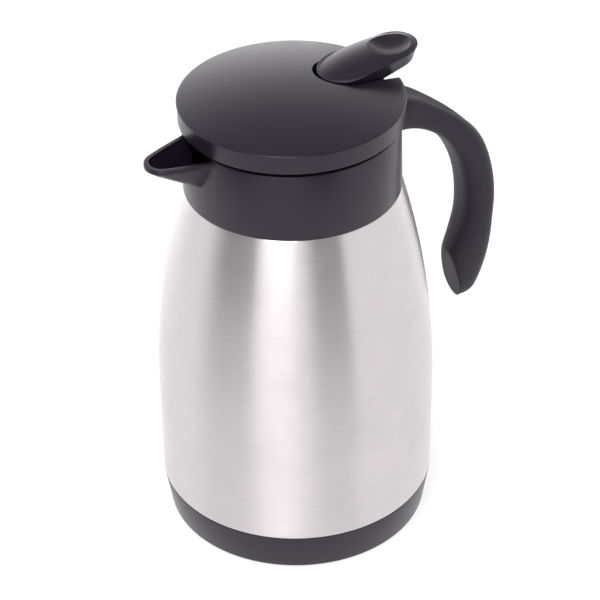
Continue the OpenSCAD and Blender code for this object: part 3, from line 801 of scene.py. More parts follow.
class TurningTree(ShapeTree):
    """Turns a profile of (radius, height) points round the Z axis."""

    def __init__(self) -> None:
        """Builds the tree."""
        super().__init__("turned_piece", {"Steps": "Int", "Material": "Material"})
        desk, profile, count = self.desk, self.value("Geometry"), self.value("Steps")
        rows = desk.term("GeometryNodeAttributeDomainSize", "Point Count",
                         {"component": "MESH"}, {"Geometry": profile})
        across = count + 1.0
        sheet = desk.term("GeometryNodeMeshGrid", "Mesh", None, {
            "Size X": 1.0, "Size Y": 1.0, "Vertices X": rows, "Vertices Y": across})
        index = desk.term("GeometryNodeInputIndex", "Index")
        row = desk.calc("FLOOR", (index + 0.5) / across)
        turn = (index - row * across) * math.tau / count
        where = desk.term("GeometryNodeInputPosition", "Position")
        picked = desk.term("GeometryNodeSampleIndex", "Value",
                           {"data_type": "FLOAT_VECTOR", "domain": "POINT"},
                           {"Geometry": profile, "Value": where, "Index": row})
        parts = desk.node("ShaderNodeSeparateXYZ", None, {0: picked})
        radius, height = (Term(desk, parts.outputs[k]) for k in ("X", "Z"))
        spot = desk.term("ShaderNodeCombineXYZ", "Vector", None, {
            "X": radius * desk.calc("COSINE", turn), "Y": radius * desk.calc("SINE", turn),
            "Z": height})
        turned = desk.term("GeometryNodeSetPosition", "Geometry", None,
                           {"Geometry": sheet, "Position": spot})
        self.close(desk.term("GeometryNodeMergeByDistance", "Geometry", None,
                             {"Geometry": turned, "Distance": 1.5e-6}))

    def turn(self, profile: Profile, around: int, material: bpy.types.Material) -> bpy.types.Mesh:
        """A turned solid.

        Args:
            profile: Closed profile in millimetres.
            around: Steps round the axis.
            material: Its finish.

        Returns:
            The solid, in metres.
        """
        line = polygon_mesh("profile", [(r, 0.0, z) for r, z in profile],
                            edges=[(k, k + 1) for k in range(len(profile) - 1)])
        return tidied(self.run(line, {"Steps": around, "Material": material}))


class ScatterTree(ShapeTree):
    """Stands a copy of one object on every point, turned to one direction."""

    def __init__(self) -> None:
        """Builds the tree."""
        super().__init__("fastener_set", {"Part": "Object", "Axis": "Vector",
                                          "Material": "Material"})
        desk = self.desk
        part = desk.term("GeometryNodeObjectInfo", "Geometry", None,
                         {"Object": self.value("Part")})
        turn = desk.term("FunctionNodeAlignRotationToVector", "Rotation", {"axis": "Z"},
                         {"Vector": self.value("Axis")})
        self.close(desk.term("GeometryNodeInstanceOnPoints", "Instances", None, {
            "Points": self.value("Geometry"), "Instance": part, "Rotation": turn}))


class CoilTree(ShapeTree):
    """Winds a round wire with one closed turn at each end."""

    def __init__(self) -> None:
        """Builds the tree."""
        super().__init__("wound_wire", {
            "Coil Radius": "Float", "Wire Radius": "Float", "Turns": "Float", "Low": "Float",
            "High": "Float", "Steps": "Int", "Material": "Material"})
        desk = self.desk
        turns, count = self.value("Turns"), self.value("Steps")
        line = desk.term("GeometryNodeMeshLine", "Mesh", None, {"Count": count})
        path = desk.term("GeometryNodeMeshToCurve", "Curve", None, {"Mesh": line})
        index = desk.term("GeometryNodeInputIndex", "Index")
        done = index / (count - 1.0) * turns
        closed = self.value("Wire Radius") * 2.15
        span = self.value("High") - self.value("Low") - closed * 2.0
        first = desk.calc("MINIMUM", done, 1.0)
        last = desk.calc("MAXIMUM", done - turns + 1.0, 0.0)
        open_part = (done - first - last) / (turns - 2.0)
        angle = done * math.tau
        spot = desk.term("ShaderNodeCombineXYZ", "Vector", None, {
            "X": self.value("Coil Radius") * desk.calc("COSINE", angle),
            "Y": self.value("Coil Radius") * desk.calc("SINE", angle),
            "Z": self.value("Low") + (first + last) * closed + open_part * span})
        wound = desk.term("GeometryNodeSetPosition", "Geometry", None,
                          {"Geometry": path, "Position": spot})
        wire = desk.term("GeometryNodeCurvePrimitiveCircle", "Curve", None,
                         {"Resolution": 12, "Radius": self.value("Wire Radius")})
        self.close(desk.term("GeometryNodeCurveToMesh", "Mesh", None, {
            "Curve": wound, "Profile Curve": wire, "Fill Caps": True}))


@dataclass
class Workshop:
    """The trees and finishes that every sub-assembly uses."""

    finishes: Finishes
    turning: TurningTree = field(default_factory=TurningTree)
    scatter: ScatterTree = field(default_factory=ScatterTree)
    coil: CoilTree = field(default_factory=CoilTree)

    def show(self, name: str, mesh: bpy.types.Mesh, body: Body, slot: Slot,
             nodes: Iterable[str] = (), sharp_deg: float = 32.0) -> bpy.types.Object:
        """Puts a finished mesh in the scene as a piece.

        Args:
            name: The piece's name.
            mesh: Its mesh, in metres and in place.
            body: The body that it rides on.
            slot: The material slot whose finish it gets.
            nodes: CAD nodes that it stands for.
            sharp_deg: Edges that turn by more than this stay sharp.

        Returns:
            The piece.
        """
        mesh.shade_smooth()
        mesh.set_sharp_from_angle(angle=math.radians(sharp_deg))
        mesh.materials.clear()
        mesh.materials.append(self.finishes.of(slot))
        piece = placed(name, mesh)
        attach(piece, body.value)
        if nodes:
            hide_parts(*nodes)
        log.info("%s: %d faces", name, len(mesh.polygons))
        return piece

    def turned(self, name: str, corners: Sequence[tuple[float, ...]], body: Body, slot: Slot,
               node: str, around: int = 96) -> None:
        """Shows a turned piece that stands for one CAD node.

        Args:
            name: The piece's name.
            corners: Its profile's corners with their fillets.
            body: The body that it rides on.
            slot: Its material slot.
            node: The CAD node.
            around: Steps round the axis.
        """
        mesh = self.turning.turn(filleted(corners), around, self.finishes.of(slot))
        self.show(name, mesh, body, slot, [node])

    def screw_set(self, name: str, places: Sequence[Sequence[float]], axis: Sequence[float],
                  length: float, body: Body, node: str) -> None:
        """Shows a set of equal screws with cross recesses.

        Args:
            name: The piece's name.
            places: Where each head's underside sits, in millimetres.
            axis: The direction of the shanks.
            length: Length of a shank.
            body: The body that they ride on.
            node: The CAD node that they stand for.
        """
        screw = ScrewShape(length)
        part = placed("screw", screw.build(self.turning, self.finishes.fastener))
        points = polygon_mesh("places", places)
        mesh = self.scatter.run(points, {"Part": part, "Axis": axis,
                                         "Material": self.finishes.fastener})
        bpy.data.objects.remove(part)
        self.show(name, mesh, body, Slot.FASTENER, [node])


@dataclass(frozen=True)
class ScrewShape:
    """A pan-head screw along +Z with its head's underside at the origin."""

    length: float
    shank_r: float = 1.4
    head_r: float = 2.5
    head_h: float = 1.6
    pitch: float = 0.7
    recess_w: float = 0.55
    recess_l: float = 1.5
    recess_depth: float = 0.9

    def build(self, turning: TurningTree, material: bpy.types.Material) -> bpy.types.Mesh:
        """Builds one screw.

        Args:
            turning: The tree that turns the blank.
            material: Its finish.

        Returns:
            The screw's mesh.
        """
        core_r = self.shank_r - 0.25
        threads = int((self.length - 1.4) / self.pitch)
        teeth = [corner for k in range(threads) for corner in (
            (core_r, 0.9 + k * self.pitch), (self.shank_r, 0.9 + (k + 0.5) * self.pitch))]
        corners = [(0.0, -self.head_h), (self.head_r, -self.head_h, 0.7), (self.head_r, 0.0, 0.1),
                   (self.shank_r, 0.0), (self.shank_r, 0.7), *teeth,
                   (core_r, self.length - 0.5), (core_r - 0.5, self.length), (0.0, self.length)]
        blank = turning.turn(filleted(corners, 4), 40, material)
        low, high = -self.head_h - 1.0, -self.head_h + self.recess_depth
        slots = [
            box_mesh((-x, -y, low), (x, y, high))
            for x, y in ((self.recess_l, self.recess_w / 2), (self.recess_w / 2, self.recess_l))
        ]
        return combined(blank, *[(Boolean.CUT, slot) for slot in slots])


def merged_copy(node: str, join_mm: float = 0.002, flat_deg: float = 0.4) -> bpy.types.Mesh:
    """A copy of a CAD node's mesh with its loose triangles joined into flat faces.

    Args:
        node: The CAD node's name.
        join_mm: Points closer than this become one.
        flat_deg: Faces that turn by less than this become one, so no slivers shade wrongly.

    Returns:
        The joined mesh, in metres and in place.
    """
    work = bmesh.new()
    work.from_mesh(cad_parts[node].data)
    bmesh.ops.remove_doubles(work, verts=work.verts, dist=join_mm * MM)
    bmesh.ops.dissolve_limit(work, angle_limit=math.radians(flat_deg), verts=work.verts,
                             edges=work.edges)
    mesh = bpy.data.meshes.new(node + "_joined")
    work.to_mesh(mesh)
    work.free()
    return mesh


# Sub-assemblies


@dataclass
class SteelVessel:
    """The double wall: outer shell, bottom plate, liner, seal and getter."""

    floor_gap: float = 9.4
    plate_rise: float = 3.4
    plate_rim: float = 6.0
    bead_r: float = 4.0
    bead_h: float = 1.2
    getter_r: float = 8.0
    getter_t: float = 1.5

    def build(self, shop: Workshop) -> None:
        """Builds and shows the steel parts.

        Args:
            shop: The trees and finishes.
        """
        p = PLAN
        tuck_z = p.foot_out + p.foot_groove + p.floor_t + p.seam
        belly_z = p.base_h + p.seam
        arc = steps(p.straight_z, p.shoulder_z, 40)
        outer = [(p.tuck_r(tuck_z), tuck_z), (p.tuck_r(belly_z), belly_z), (p.body_r, belly_z, 0.3),
                 *[(p.belly_r(z), z) for z in steps(belly_z + 4.0, p.straight_z, 5)[:-1]],
                 *[(p.belly_r(z), z) for z in arc[:-1]],
                 (p.shoulder_r, p.shoulder_z, 0.5), (p.neck_r, p.shoulder_z, 0.4),
                 (p.neck_r, p.rim_z - p.liner_t)]
        inner = [(p.neck_r - p.shell_t, p.rim_z - p.liner_t),
                 (p.neck_r - p.shell_t, p.shoulder_z - p.shell_t),
                 *[(p.belly_r(z, p.shell_t), z) for z in reversed(arc[:-1])],
                 (p.belly_r(belly_z, p.shell_t), belly_z + p.shell_t),
                 (p.tuck_r(belly_z) - p.shell_t, belly_z + p.shell_t),
                 (p.tuck_r(tuck_z) - p.shell_t, tuck_z)]
        shop.turned("steel_shell", outer + inner, Body.VESSEL, Slot.STEEL, "outer_shell", 256)
        self._bottom(shop, tuck_z)
        self._liner(shop, tuck_z + self.floor_gap)

    def _bottom(self, shop: Workshop, low: float) -> None:
        """Shows the bottom plate, its sealing bead and the getter."""
        p = PLAN
        rim = p.tuck_r(low) - p.shell_t - p.snug
        inner, outer, high = rim - 2 * self.plate_rim, rim - self.plate_rim, low + self.plate_rise
        t = p.shell_t
        shop.turned("bottom_plate", [
            (0.0, high), (inner, high, 3.0), (outer, low, 3.0), (rim, low), (rim, low + t),
            (outer, low + t, 3.6), (inner, high + t, 3.6), (0.0, high + t)],
            Body.VESSEL, Slot.INNER_STEEL, "shell_bottom", 160)
        shop.turned("sealing_bead", [
            (0.0, high - self.bead_h), (self.bead_r - self.bead_h, high - self.bead_h, 1.0),
            (self.bead_r, high, 0.05), (0.0, high)],
            Body.VESSEL, Slot.SOLDER, "vacuum_seal", 64)
        shop.turned("getter", [
            (0.0, high + t), (self.getter_r, high + t, 0.2),
            (self.getter_r, high + t + self.getter_t, 0.4), (0.0, high + t + self.getter_t)],
            Body.VESSEL, Slot.INNER_STEEL, "getter_disc", 64)

    def _liner(self, shop: Workshop, low: float) -> None:
        """Shows the inner vessel."""
        p = PLAN
        inset, t = p.shell_t + p.vacuum_gap, p.liner_t
        top = p.shoulder_z - p.vacuum_gap
        wall = steps(low + p.liner_corner_r, top, 36)
        outer = [(0.0, low), (p.body_r - inset, low, p.liner_corner_r),
                 *[(p.belly_r(z, inset), z) for z in wall[1:]],
                 (p.mouth_r + t, top, 0.5), (p.mouth_r + t, p.rim_z - t, 0.3),
                 (p.neck_r, p.rim_z - t, 0.2), (p.neck_r, p.rim_z, 0.25), (p.mouth_r, p.rim_z, 0.6)]
        inner = [(p.mouth_r, top - t, 0.8),
                 *[(p.belly_r(z, inset + t), z) for z in reversed(wall[1:-1])],
                 (p.body_r - inset - t, low + t, p.liner_corner_r - t), (0.0, low + t)]
        shop.turned("inner_liner", outer + inner, Body.VESSEL, Slot.INNER_STEEL,
                    "inner_vessel", 192)


@dataclass
class BaseCup:
    """The black cup round the body's lower end, with its foot ring."""

    chamfer: float = 0.8
    foot_inset: float = 2.0

    def build(self, shop: Workshop) -> None:
        """Builds and shows the cup and the ring.

        Args:
            shop: The trees and finishes.
        """
        p = PLAN
        floor_z = p.foot_out + p.foot_groove + p.floor_t
        groove_z = p.foot_out + p.foot_groove
        ring_out = p.cup_r(p.foot_out) - self.chamfer - self.foot_inset
        ring_in = ring_out - p.foot_w
        shop.turned("base_cup_piece", [
            (0.0, groove_z), (ring_in - 3.0, groove_z, 0.6), (ring_in - 2.0, p.foot_out, 0.4),
            (ring_in, p.foot_out, 0.2), (ring_in, groove_z), (ring_out, groove_z),
            (ring_out, p.foot_out, 0.2), (p.cup_r(p.foot_out), p.foot_out, 1.2),
            (p.body_r, p.base_h, 0.35), (p.cup_r(p.base_h) - p.base_t, p.base_h, 0.2),
            (p.cup_r(floor_z) - p.base_t, floor_z, 0.6), (0.0, floor_z)],
            Body.VESSEL, Slot.BLACK, "base_cup", 256)
        shop.turned("foot_ring_piece", [
            (ring_in + p.snug, 0.0, 0.6), (ring_out - p.snug, 0.0, 0.6),
            (ring_out - p.snug, groove_z - p.snug), (ring_in + p.snug, groove_z - p.snug)],
            Body.VESSEL, Slot.RUBBER, "foot_ring", 160)


@dataclass
class CollarWithSpout:
    """The collar ring with the spout, moulded in one."""

    reach: float = 72.0
    half_w: float = 15.1
    depth: float = 21.4
    nose_r: float = 8.6
    mid_back: float = 16.0
    mid_in: float = 4.0
    wall: float = 1.4
    lip_h: float = 1.9
    lip_out: float = 0.8
    fall_deg: float = 1.8
    nose_rise: float = 0.3
    rib_t: float = 1.8
    rib_h: float = 2.0
    edge_r: float = 0.45
    screw_r: float = 1.45
    head_r: float = 2.5

    @property
    def root_x(self) -> float:
        """Distance from the axis to the spout's root."""
        return PLAN.collar_bore - 2.0

    @property
    def rim_z(self) -> float:
        """Height of the spout's rim at the collar's axis side."""
        return PLAN.collar_top - 0.6

    @property
    def screw_heights(self) -> tuple[float, float]:
        """Heights of the handle's two screws."""
        return (PLAN.ledge_top + self.head_r + 0.2,
                PLAN.seat_z - self.rib_h - self.head_r - 0.2)

    def _form(self, inset: float) -> bpy.types.Mesh:
        """The spout's full form, drawn in by an inset."""
        keel_r = self.nose_r - 0.5
        root = (-self.root_x, 0.0, self.rim_z - self.depth + keel_r)
        high = self.rim_z + self.nose_rise
        circle = [
            Vector(root) + (keel_r - inset) * Vector((0.0, math.cos(a), math.sin(a)))
            for a in steps(0.0, math.tau, 96)
        ]
        shoulders = [(-self.root_x, side * (self.half_w - inset), z)
                     for side in (-1, 1) for z in (self.rim_z, high)]
        middle = ball_points((-self.reach + self.mid_back, 0.0, high),
                             self.half_w - self.mid_in - inset, 96)
        nose = ball_points((-self.reach + self.nose_r, 0.0, high), self.nose_r - inset, 96)
        root_in = [point + Vector((1.0, 0.0, 0.0)) for point in
                   [*circle, *map(Vector, shoulders)]]
        return hull_mesh([*circle, *shoulders, *root_in, *middle, *nose])

    def _rim_plane(self, drop: float) -> tuple[tuple[float, float, float], Vector]:
        """A point and the upward direction of the rim's plane, lowered by a drop."""
        fall = math.radians(self.fall_deg)
        return ((-PLAN.collar_bore, 0.0, self.rim_z - drop),
                Vector((-math.sin(fall), 0.0, math.cos(fall))))

    def _band(self) -> bpy.types.Mesh:
        """The band round the spout's rim, its outer edges rounded."""
        low, high = self.rim_z - 8.0, self.rim_z + 4.0
        plan = [Vector((-self.root_x + dx, side * self.half_w, 0.0))
                for side in (-1, 1) for dx in (0.0, 1.0)]
        plan += ring_points((-self.reach + self.mid_back, 0.0, 0.0), self.half_w - self.mid_in)
        plan += ring_points((-self.reach + self.nose_r, 0.0, 0.0), self.nose_r, around=128)
        mesh = hull_mesh([point + Vector((0.0, 0.0, z)) for point in plan for z in (low, high)])
        point, up = self._rim_plane(0.0)
        sliced(mesh, point, up, self.edge_r)
        point, up = self._rim_plane(self.lip_h)
        return sliced(mesh, point, -up)

    def build(self, shop: Workshop) -> None:
        """Builds and shows the collar and the gasket under its ledge.

        Args:
            shop: The trees and finishes.
        """
        p = PLAN
        low, top = p.shoulder_z + p.snug, p.collar_top
        ring = shop.turning.turn(filleted([
            (p.collar_out(low), low, 0.25), (p.collar_out(top), top, 0.7),
            (p.collar_bore, top, 0.3), (p.collar_bore, p.ledge_top), (p.mouth_r + 1.0, p.ledge_top, 0.3),
            (p.mouth_r + 1.0, p.ledge_z, 0.2), (p.neck_r + 6 * p.snug, p.ledge_z),
            (p.neck_r + 6 * p.snug, low)]), 256, shop.finishes.black)
        rib = shop.turning.turn(filleted([
            (p.collar_bore + 1.0, p.seat_z), (p.collar_bore - self.rib_t, p.seat_z, 0.2),
            (p.collar_bore - self.rib_t, p.seat_z - self.rib_h, 0.2),
            (p.collar_bore + 1.0, p.seat_z - self.rib_h)]), 256, shop.finishes.black)
        outside = self._form(self.lip_out)
        sliced(outside, *self._rim_plane(0.0))
        hollow = combined(self._form(self.lip_out + self.wall), (Boolean.KEEP, box_mesh(
            (-self.reach, -self.half_w, p.ledge_top), (-p.mouth_r + 2.0, self.half_w, top + 30.0))))
        mouth = box_mesh((-2 * p.collar_bore, -self.half_w, p.seat_z - self.rib_h - 1.0),
                         (0.0, self.half_w, p.seat_z + 1.0))
        rib = combined(rib, (Boolean.CUT, mouth))
        bore = shop.turning.turn([
            (0.0, p.ledge_top), (p.collar_bore, p.ledge_top), (p.collar_bore, top + 9.0),
            (0.0, top + 9.0), (0.0, p.ledge_top)], 256, shop.finishes.black)
        holes = [
            (Boolean.CUT, hull_mesh([
                Vector((x, self.screw_r * math.cos(a), z + self.screw_r * math.sin(a)))
                for a in steps(0.0, math.tau, 24) for x in (p.mouth_r, p.collar_r + 4.0)]))
            for z in self.screw_heights
        ]
        solid = combined(outside, (Boolean.JOIN, self._band()), (Boolean.CUT, bore),
                         (Boolean.JOIN, ring), (Boolean.JOIN, rib), (Boolean.CUT, hollow), *holes)
        shop.show("collar_and_spout", solid, Body.VESSEL, Slot.BLACK, ["collar"], 24.0)
        shop.turned("rim_gasket_piece", [
            (p.mouth_r + 1.6, p.rim_z, 0.3), (p.neck_r - 0.4, p.rim_z, 0.3),
            (p.neck_r - 0.4, p.rim_z + p.rim_gasket_t, 0.3),
            (p.mouth_r + 1.6, p.rim_z + p.rim_gasket_t, 0.3)],
            Body.VESSEL, Slot.RUBBER, "rim_gasket", 128)
        shop.screw_set("handle_screw_set", [(p.collar_bore - 0.1, 0.0, z)
                                            for z in self.screw_heights],
                       (1.0, 0.0, 0.0), 14.0, Body.VESSEL, "handle_screws")


@dataclass
class Handle:
    """The open-ended handle: one section swept along a curved middle line."""

    grip_x: float = 98.4
    grip_drop: float = 72.3
    root_drop: float = 11.7
    tail_x: float = 84.8
    tail_drop: float = 123.9
    grip_w: float = 19.6
    grip_t: float = 14.8
    heel_t: float = 22.0
    root_w: float = 25.5
    facet_deg: float = 12.0
    sides: int = 96
    rings: int = 130
    tip_rings: int = 14
    tip_h: float = 0.19
    scoop_depth: float = 2.6
    scoop_w: float = 0.86
    waist: float = 2.0
    root_rise: float = 1.6
    toe_round: float = 5.0
    toe_point: float = 1.0
    seat_at: float = 0.06
    arm_from: float = 0.10
    tip_reach: float = 0.985
    tip_least: float = 0.02
    ease: float = 0.08
    grip_roughness: float = 0.5
    grip_gloss: float = 0.36

    def _curves(self) -> tuple[list[Vector], list[Vector]]:
        """The two cubic curves of the middle line, in the XZ plane."""
        top = PLAN.collar_top
        grip_z, root_z, tail_z = top - self.grip_drop, top - self.root_drop, top - self.tail_drop
        arm = [(PLAN.collar_r - 3.0, root_z), (self.grip_x - 21.6, root_z + 0.8),
               (self.grip_x, grip_z + 33.2), (self.grip_x, grip_z)]
        tail = [(self.grip_x, grip_z), (self.grip_x, grip_z - 19.3),
                (self.tail_x + 6.3, tail_z + 12.3), (self.tail_x, tail_z)]
        return [Vector(q) for q in arm], [Vector(q) for q in tail]

    def _middle(self, u: float) -> tuple[Vector, Vector]:
        """Place and direction of the middle line, from 0 at the collar to 2 at the tail."""
        arm, tail = self._curves()
        a, b, c, d = arm if u <= 1.0 else tail
        t = u if u <= 1.0 else u - 1.0
        s = 1.0 - t
        place = s ** 3 * a + 3 * s * s * t * b + 3 * s * t * t * c + t ** 3 * d
        slope = s * s * (b - a) + 2 * s * t * (c - b) + t * t * (d - c)
        return place, slope.normalized()

    def _eased(self, u: float, table: Sequence[tuple[float, float]]) -> float:
        """A table's value at a position, averaged over its neighbourhood."""
        def at(x: float) -> float:
            """Straight interpolation in the table."""
            if x <= table[0][0]:
                return table[0][1]
            for (x0, y0), (x1, y1) in zip(table, table[1:]):
                if x <= x1:
                    return y0 + (y1 - y0) * (x - x0) / (x1 - x0)
            return table[-1][1]
        shifts = steps(-self.ease, self.ease, 8)
        return sum(at(u + shift) for shift in shifts) / len(shifts)

    def _ring(self, u: float, shrink: float) -> list[Vector]:
        """The section's points at a position."""
        place, along = self._middle(u)
        half_t, half_w = self.grip_t / 2, self.grip_w / 2
        a = self._eased(u, [(0, half_t + 0.2), (0.15, half_t), (0.5, half_t), (0.95, half_t + 0.8),
                            (1.15, half_t + 0.6), (1.5, self.heel_t / 2), (1.75, self.heel_t / 2 + 0.4),
                            (2, self.heel_t / 2 - 1.4)])
        b = self._eased(u, [(0, self.root_w / 2), (0.08, self.root_w / 2 - 1.5),
                            (0.2, half_w + 0.2), (0.35, half_w), (1.3, half_w), (1.7, half_w - 1.5),
                            (2, half_w - 3.1)])
        outer_n = self._eased(u, [(0, 7), (0.3, 5), (0.8, 2.8), (1.4, 2.5), (2, 2.5)])
        inner_n = self._eased(u, [(0, 2.6), (0.3, 3.6), (0.8, 2.8), (1.4, 2.5), (2, 2.5)])
        scoop = self._eased(u, [(0.13, 0), (0.25, self.scoop_depth), (0.37, self.scoop_depth), (0.54, 0)])
        waist = self._eased(u, [(0.14, -self.root_rise), (0.22, 0.4), (0.32, self.waist),
                                (0.42, self.waist), (0.62, 0)])
        lean = math.radians(self.facet_deg)
        out = Vector((-math.cos(lean), -math.sin(lean)))
        inward = Vector((along.y, -along.x))
        facet = Vector((self.grip_x - 15.4, PLAN.collar_top - self.grip_drop - 25.1))
        slant = inward.dot(out)
        limit = (facet - place).dot(out) / slant if u > 1.0 and slant > 0.2 else math.inf
        points = []
        for k in range(self.sides):
            angle = math.tau * (k + 0.5) / self.sides
            c, s = math.cos(angle), math.sin(angle)
            n = inner_n if c > 0.0 else outer_n
            reach = (abs(c) ** n + abs(s) ** n) ** (-1 / n) * shrink
            across, side = c * reach * a, s * reach * b
            if c < 0.0:
                across *= 1.0 - waist / a
                across += scoop * max(1.0 - (side / (self.scoop_w * b)) ** 2, 0.0) ** 2
            soft = self.toe_point + (self.toe_round - self.toe_point) * (side / b) ** 2
            near = max(soft - abs(across - limit), 0.0) / soft
            across = min(across, limit) - near * near * soft / 4
            spot = place + inward * across
            points.append(Vector((spot.x, side, spot.y)))
        return points

    def _seated(self, point: Vector) -> Vector:
        """A root point moved along X onto the collar's outside."""
        radius = PLAN.collar_out(point.z) + PLAN.snug
        return Vector((math.sqrt(radius ** 2 - point.y ** 2), point.y, point.z))

    def build(self, shop: Workshop) -> None:
        """Builds and shows the handle.

        Args:
            shop: The trees and finishes.
        """
        rings = [[self._seated(q) for q in self._ring(self.seat_at, 1.0)]]
        rings += [self._ring(u, 1.0) for u in steps(self.arm_from, 2.0 - self.tip_h, self.rings)]
        for s in steps(0.0, 1.0, self.tip_rings)[1:]:
            swing = math.sin(s * math.pi / 2)
            rings.append(self._ring(2.0 - self.tip_h + self.tip_h * swing * self.tip_reach,
                                    max(math.cos(s * math.pi / 2), self.tip_least)))
        mesh = loft(rings, "handle")
        piece = shop.show("open_handle", mesh, Body.VESSEL, Slot.BLACK, ["handle"], 40.0)
        # The grip is duller than the other black mouldings
        piece.data.materials[0] = SatinPlastic("grip_plastic", roughness=self.grip_roughness,
                                               gloss=self.grip_gloss).make()


@dataclass
class LidTop:
    """The lid's domed cover with the slot for the lever."""

    dome_h: float = 6.7
    edge_r: float = 1.2
    fall: float = 6.6
    skirt_over: float = 0.35
    wall: float = 2.4
    slot_x: float = 12.8
    slot_front_r: float = 13.2
    slot_rear_w: float = 10.1
    drum_r: float = 45.6
    drum_t: float = 2.0
    drum_h: float = 10.0
    seat_gap: float = 0.2

    def build(self, shop: Workshop) -> None:
        """Builds and shows the cover.

        Args:
            shop: The trees and finishes.
        """
        p = PLAN
        skirt_z, edge_z = p.collar_top + p.skirt_gap, p.edge_z
        dome_z = edge_z + self.dome_h
        radius = (p.lid_r ** 2 + self.fall ** 2) / (2 * self.fall)

        def dome(r: float, inset: float) -> tuple[float, float]:
            """A point of the dome, drawn in by an inset."""
            return (r, dome_z - radius + math.sqrt((radius - inset) ** 2 - r ** 2))

        outer = [(p.lid_r - 0.4, skirt_z - self.skirt_over, 0.35), (p.lid_r - 0.36, edge_z - 0.75, 0.06),
                 (p.lid_r, edge_z - 0.6, 0.12), (*dome(p.lid_r, 0.0), self.edge_r),
                 *[dome(r, 0.0) for r in steps(p.lid_r - 2.0, 0.0, 26)]]
        drum_top = p.seat_z + self.seat_gap + self.drum_h
        drum_in = self.drum_r - self.drum_t
        inner = [dome(r, self.wall) for r in steps(0.0, drum_in, 14)]
        inner += [(drum_in, drum_top), (self.drum_r, drum_top), dome(self.drum_r, self.wall),
                  (p.lid_r - 2.5, edge_z - 1.8, 0.6),
                  (p.lid_r - 0.4 - self.wall, skirt_z - self.skirt_over, 0.3)]
        lid = shop.turning.turn(filleted(outer + inner), 288, shop.finishes.black)
        front = (self.slot_x + self.slot_front_r, 0.0, 0.0)
        plan = ring_points(front, self.slot_front_r, around=160)
        plan += [Vector((p.lid_r + 4.0 + dx, side * self.slot_rear_w, 0.0))
                 for side in (-1, 1) for dx in (0.0, 1.0)]
        slot = hull_mesh([q + Vector((0.0, 0.0, z)) for q in plan for z in (skirt_z - 2.0, dome_z + 2.0)])
        lid = combined(lid, (Boolean.CUT, slot))
        shop.show("domed_lid", lid, Body.LID, Slot.BLACK, ["lid_cover"], 28.0)


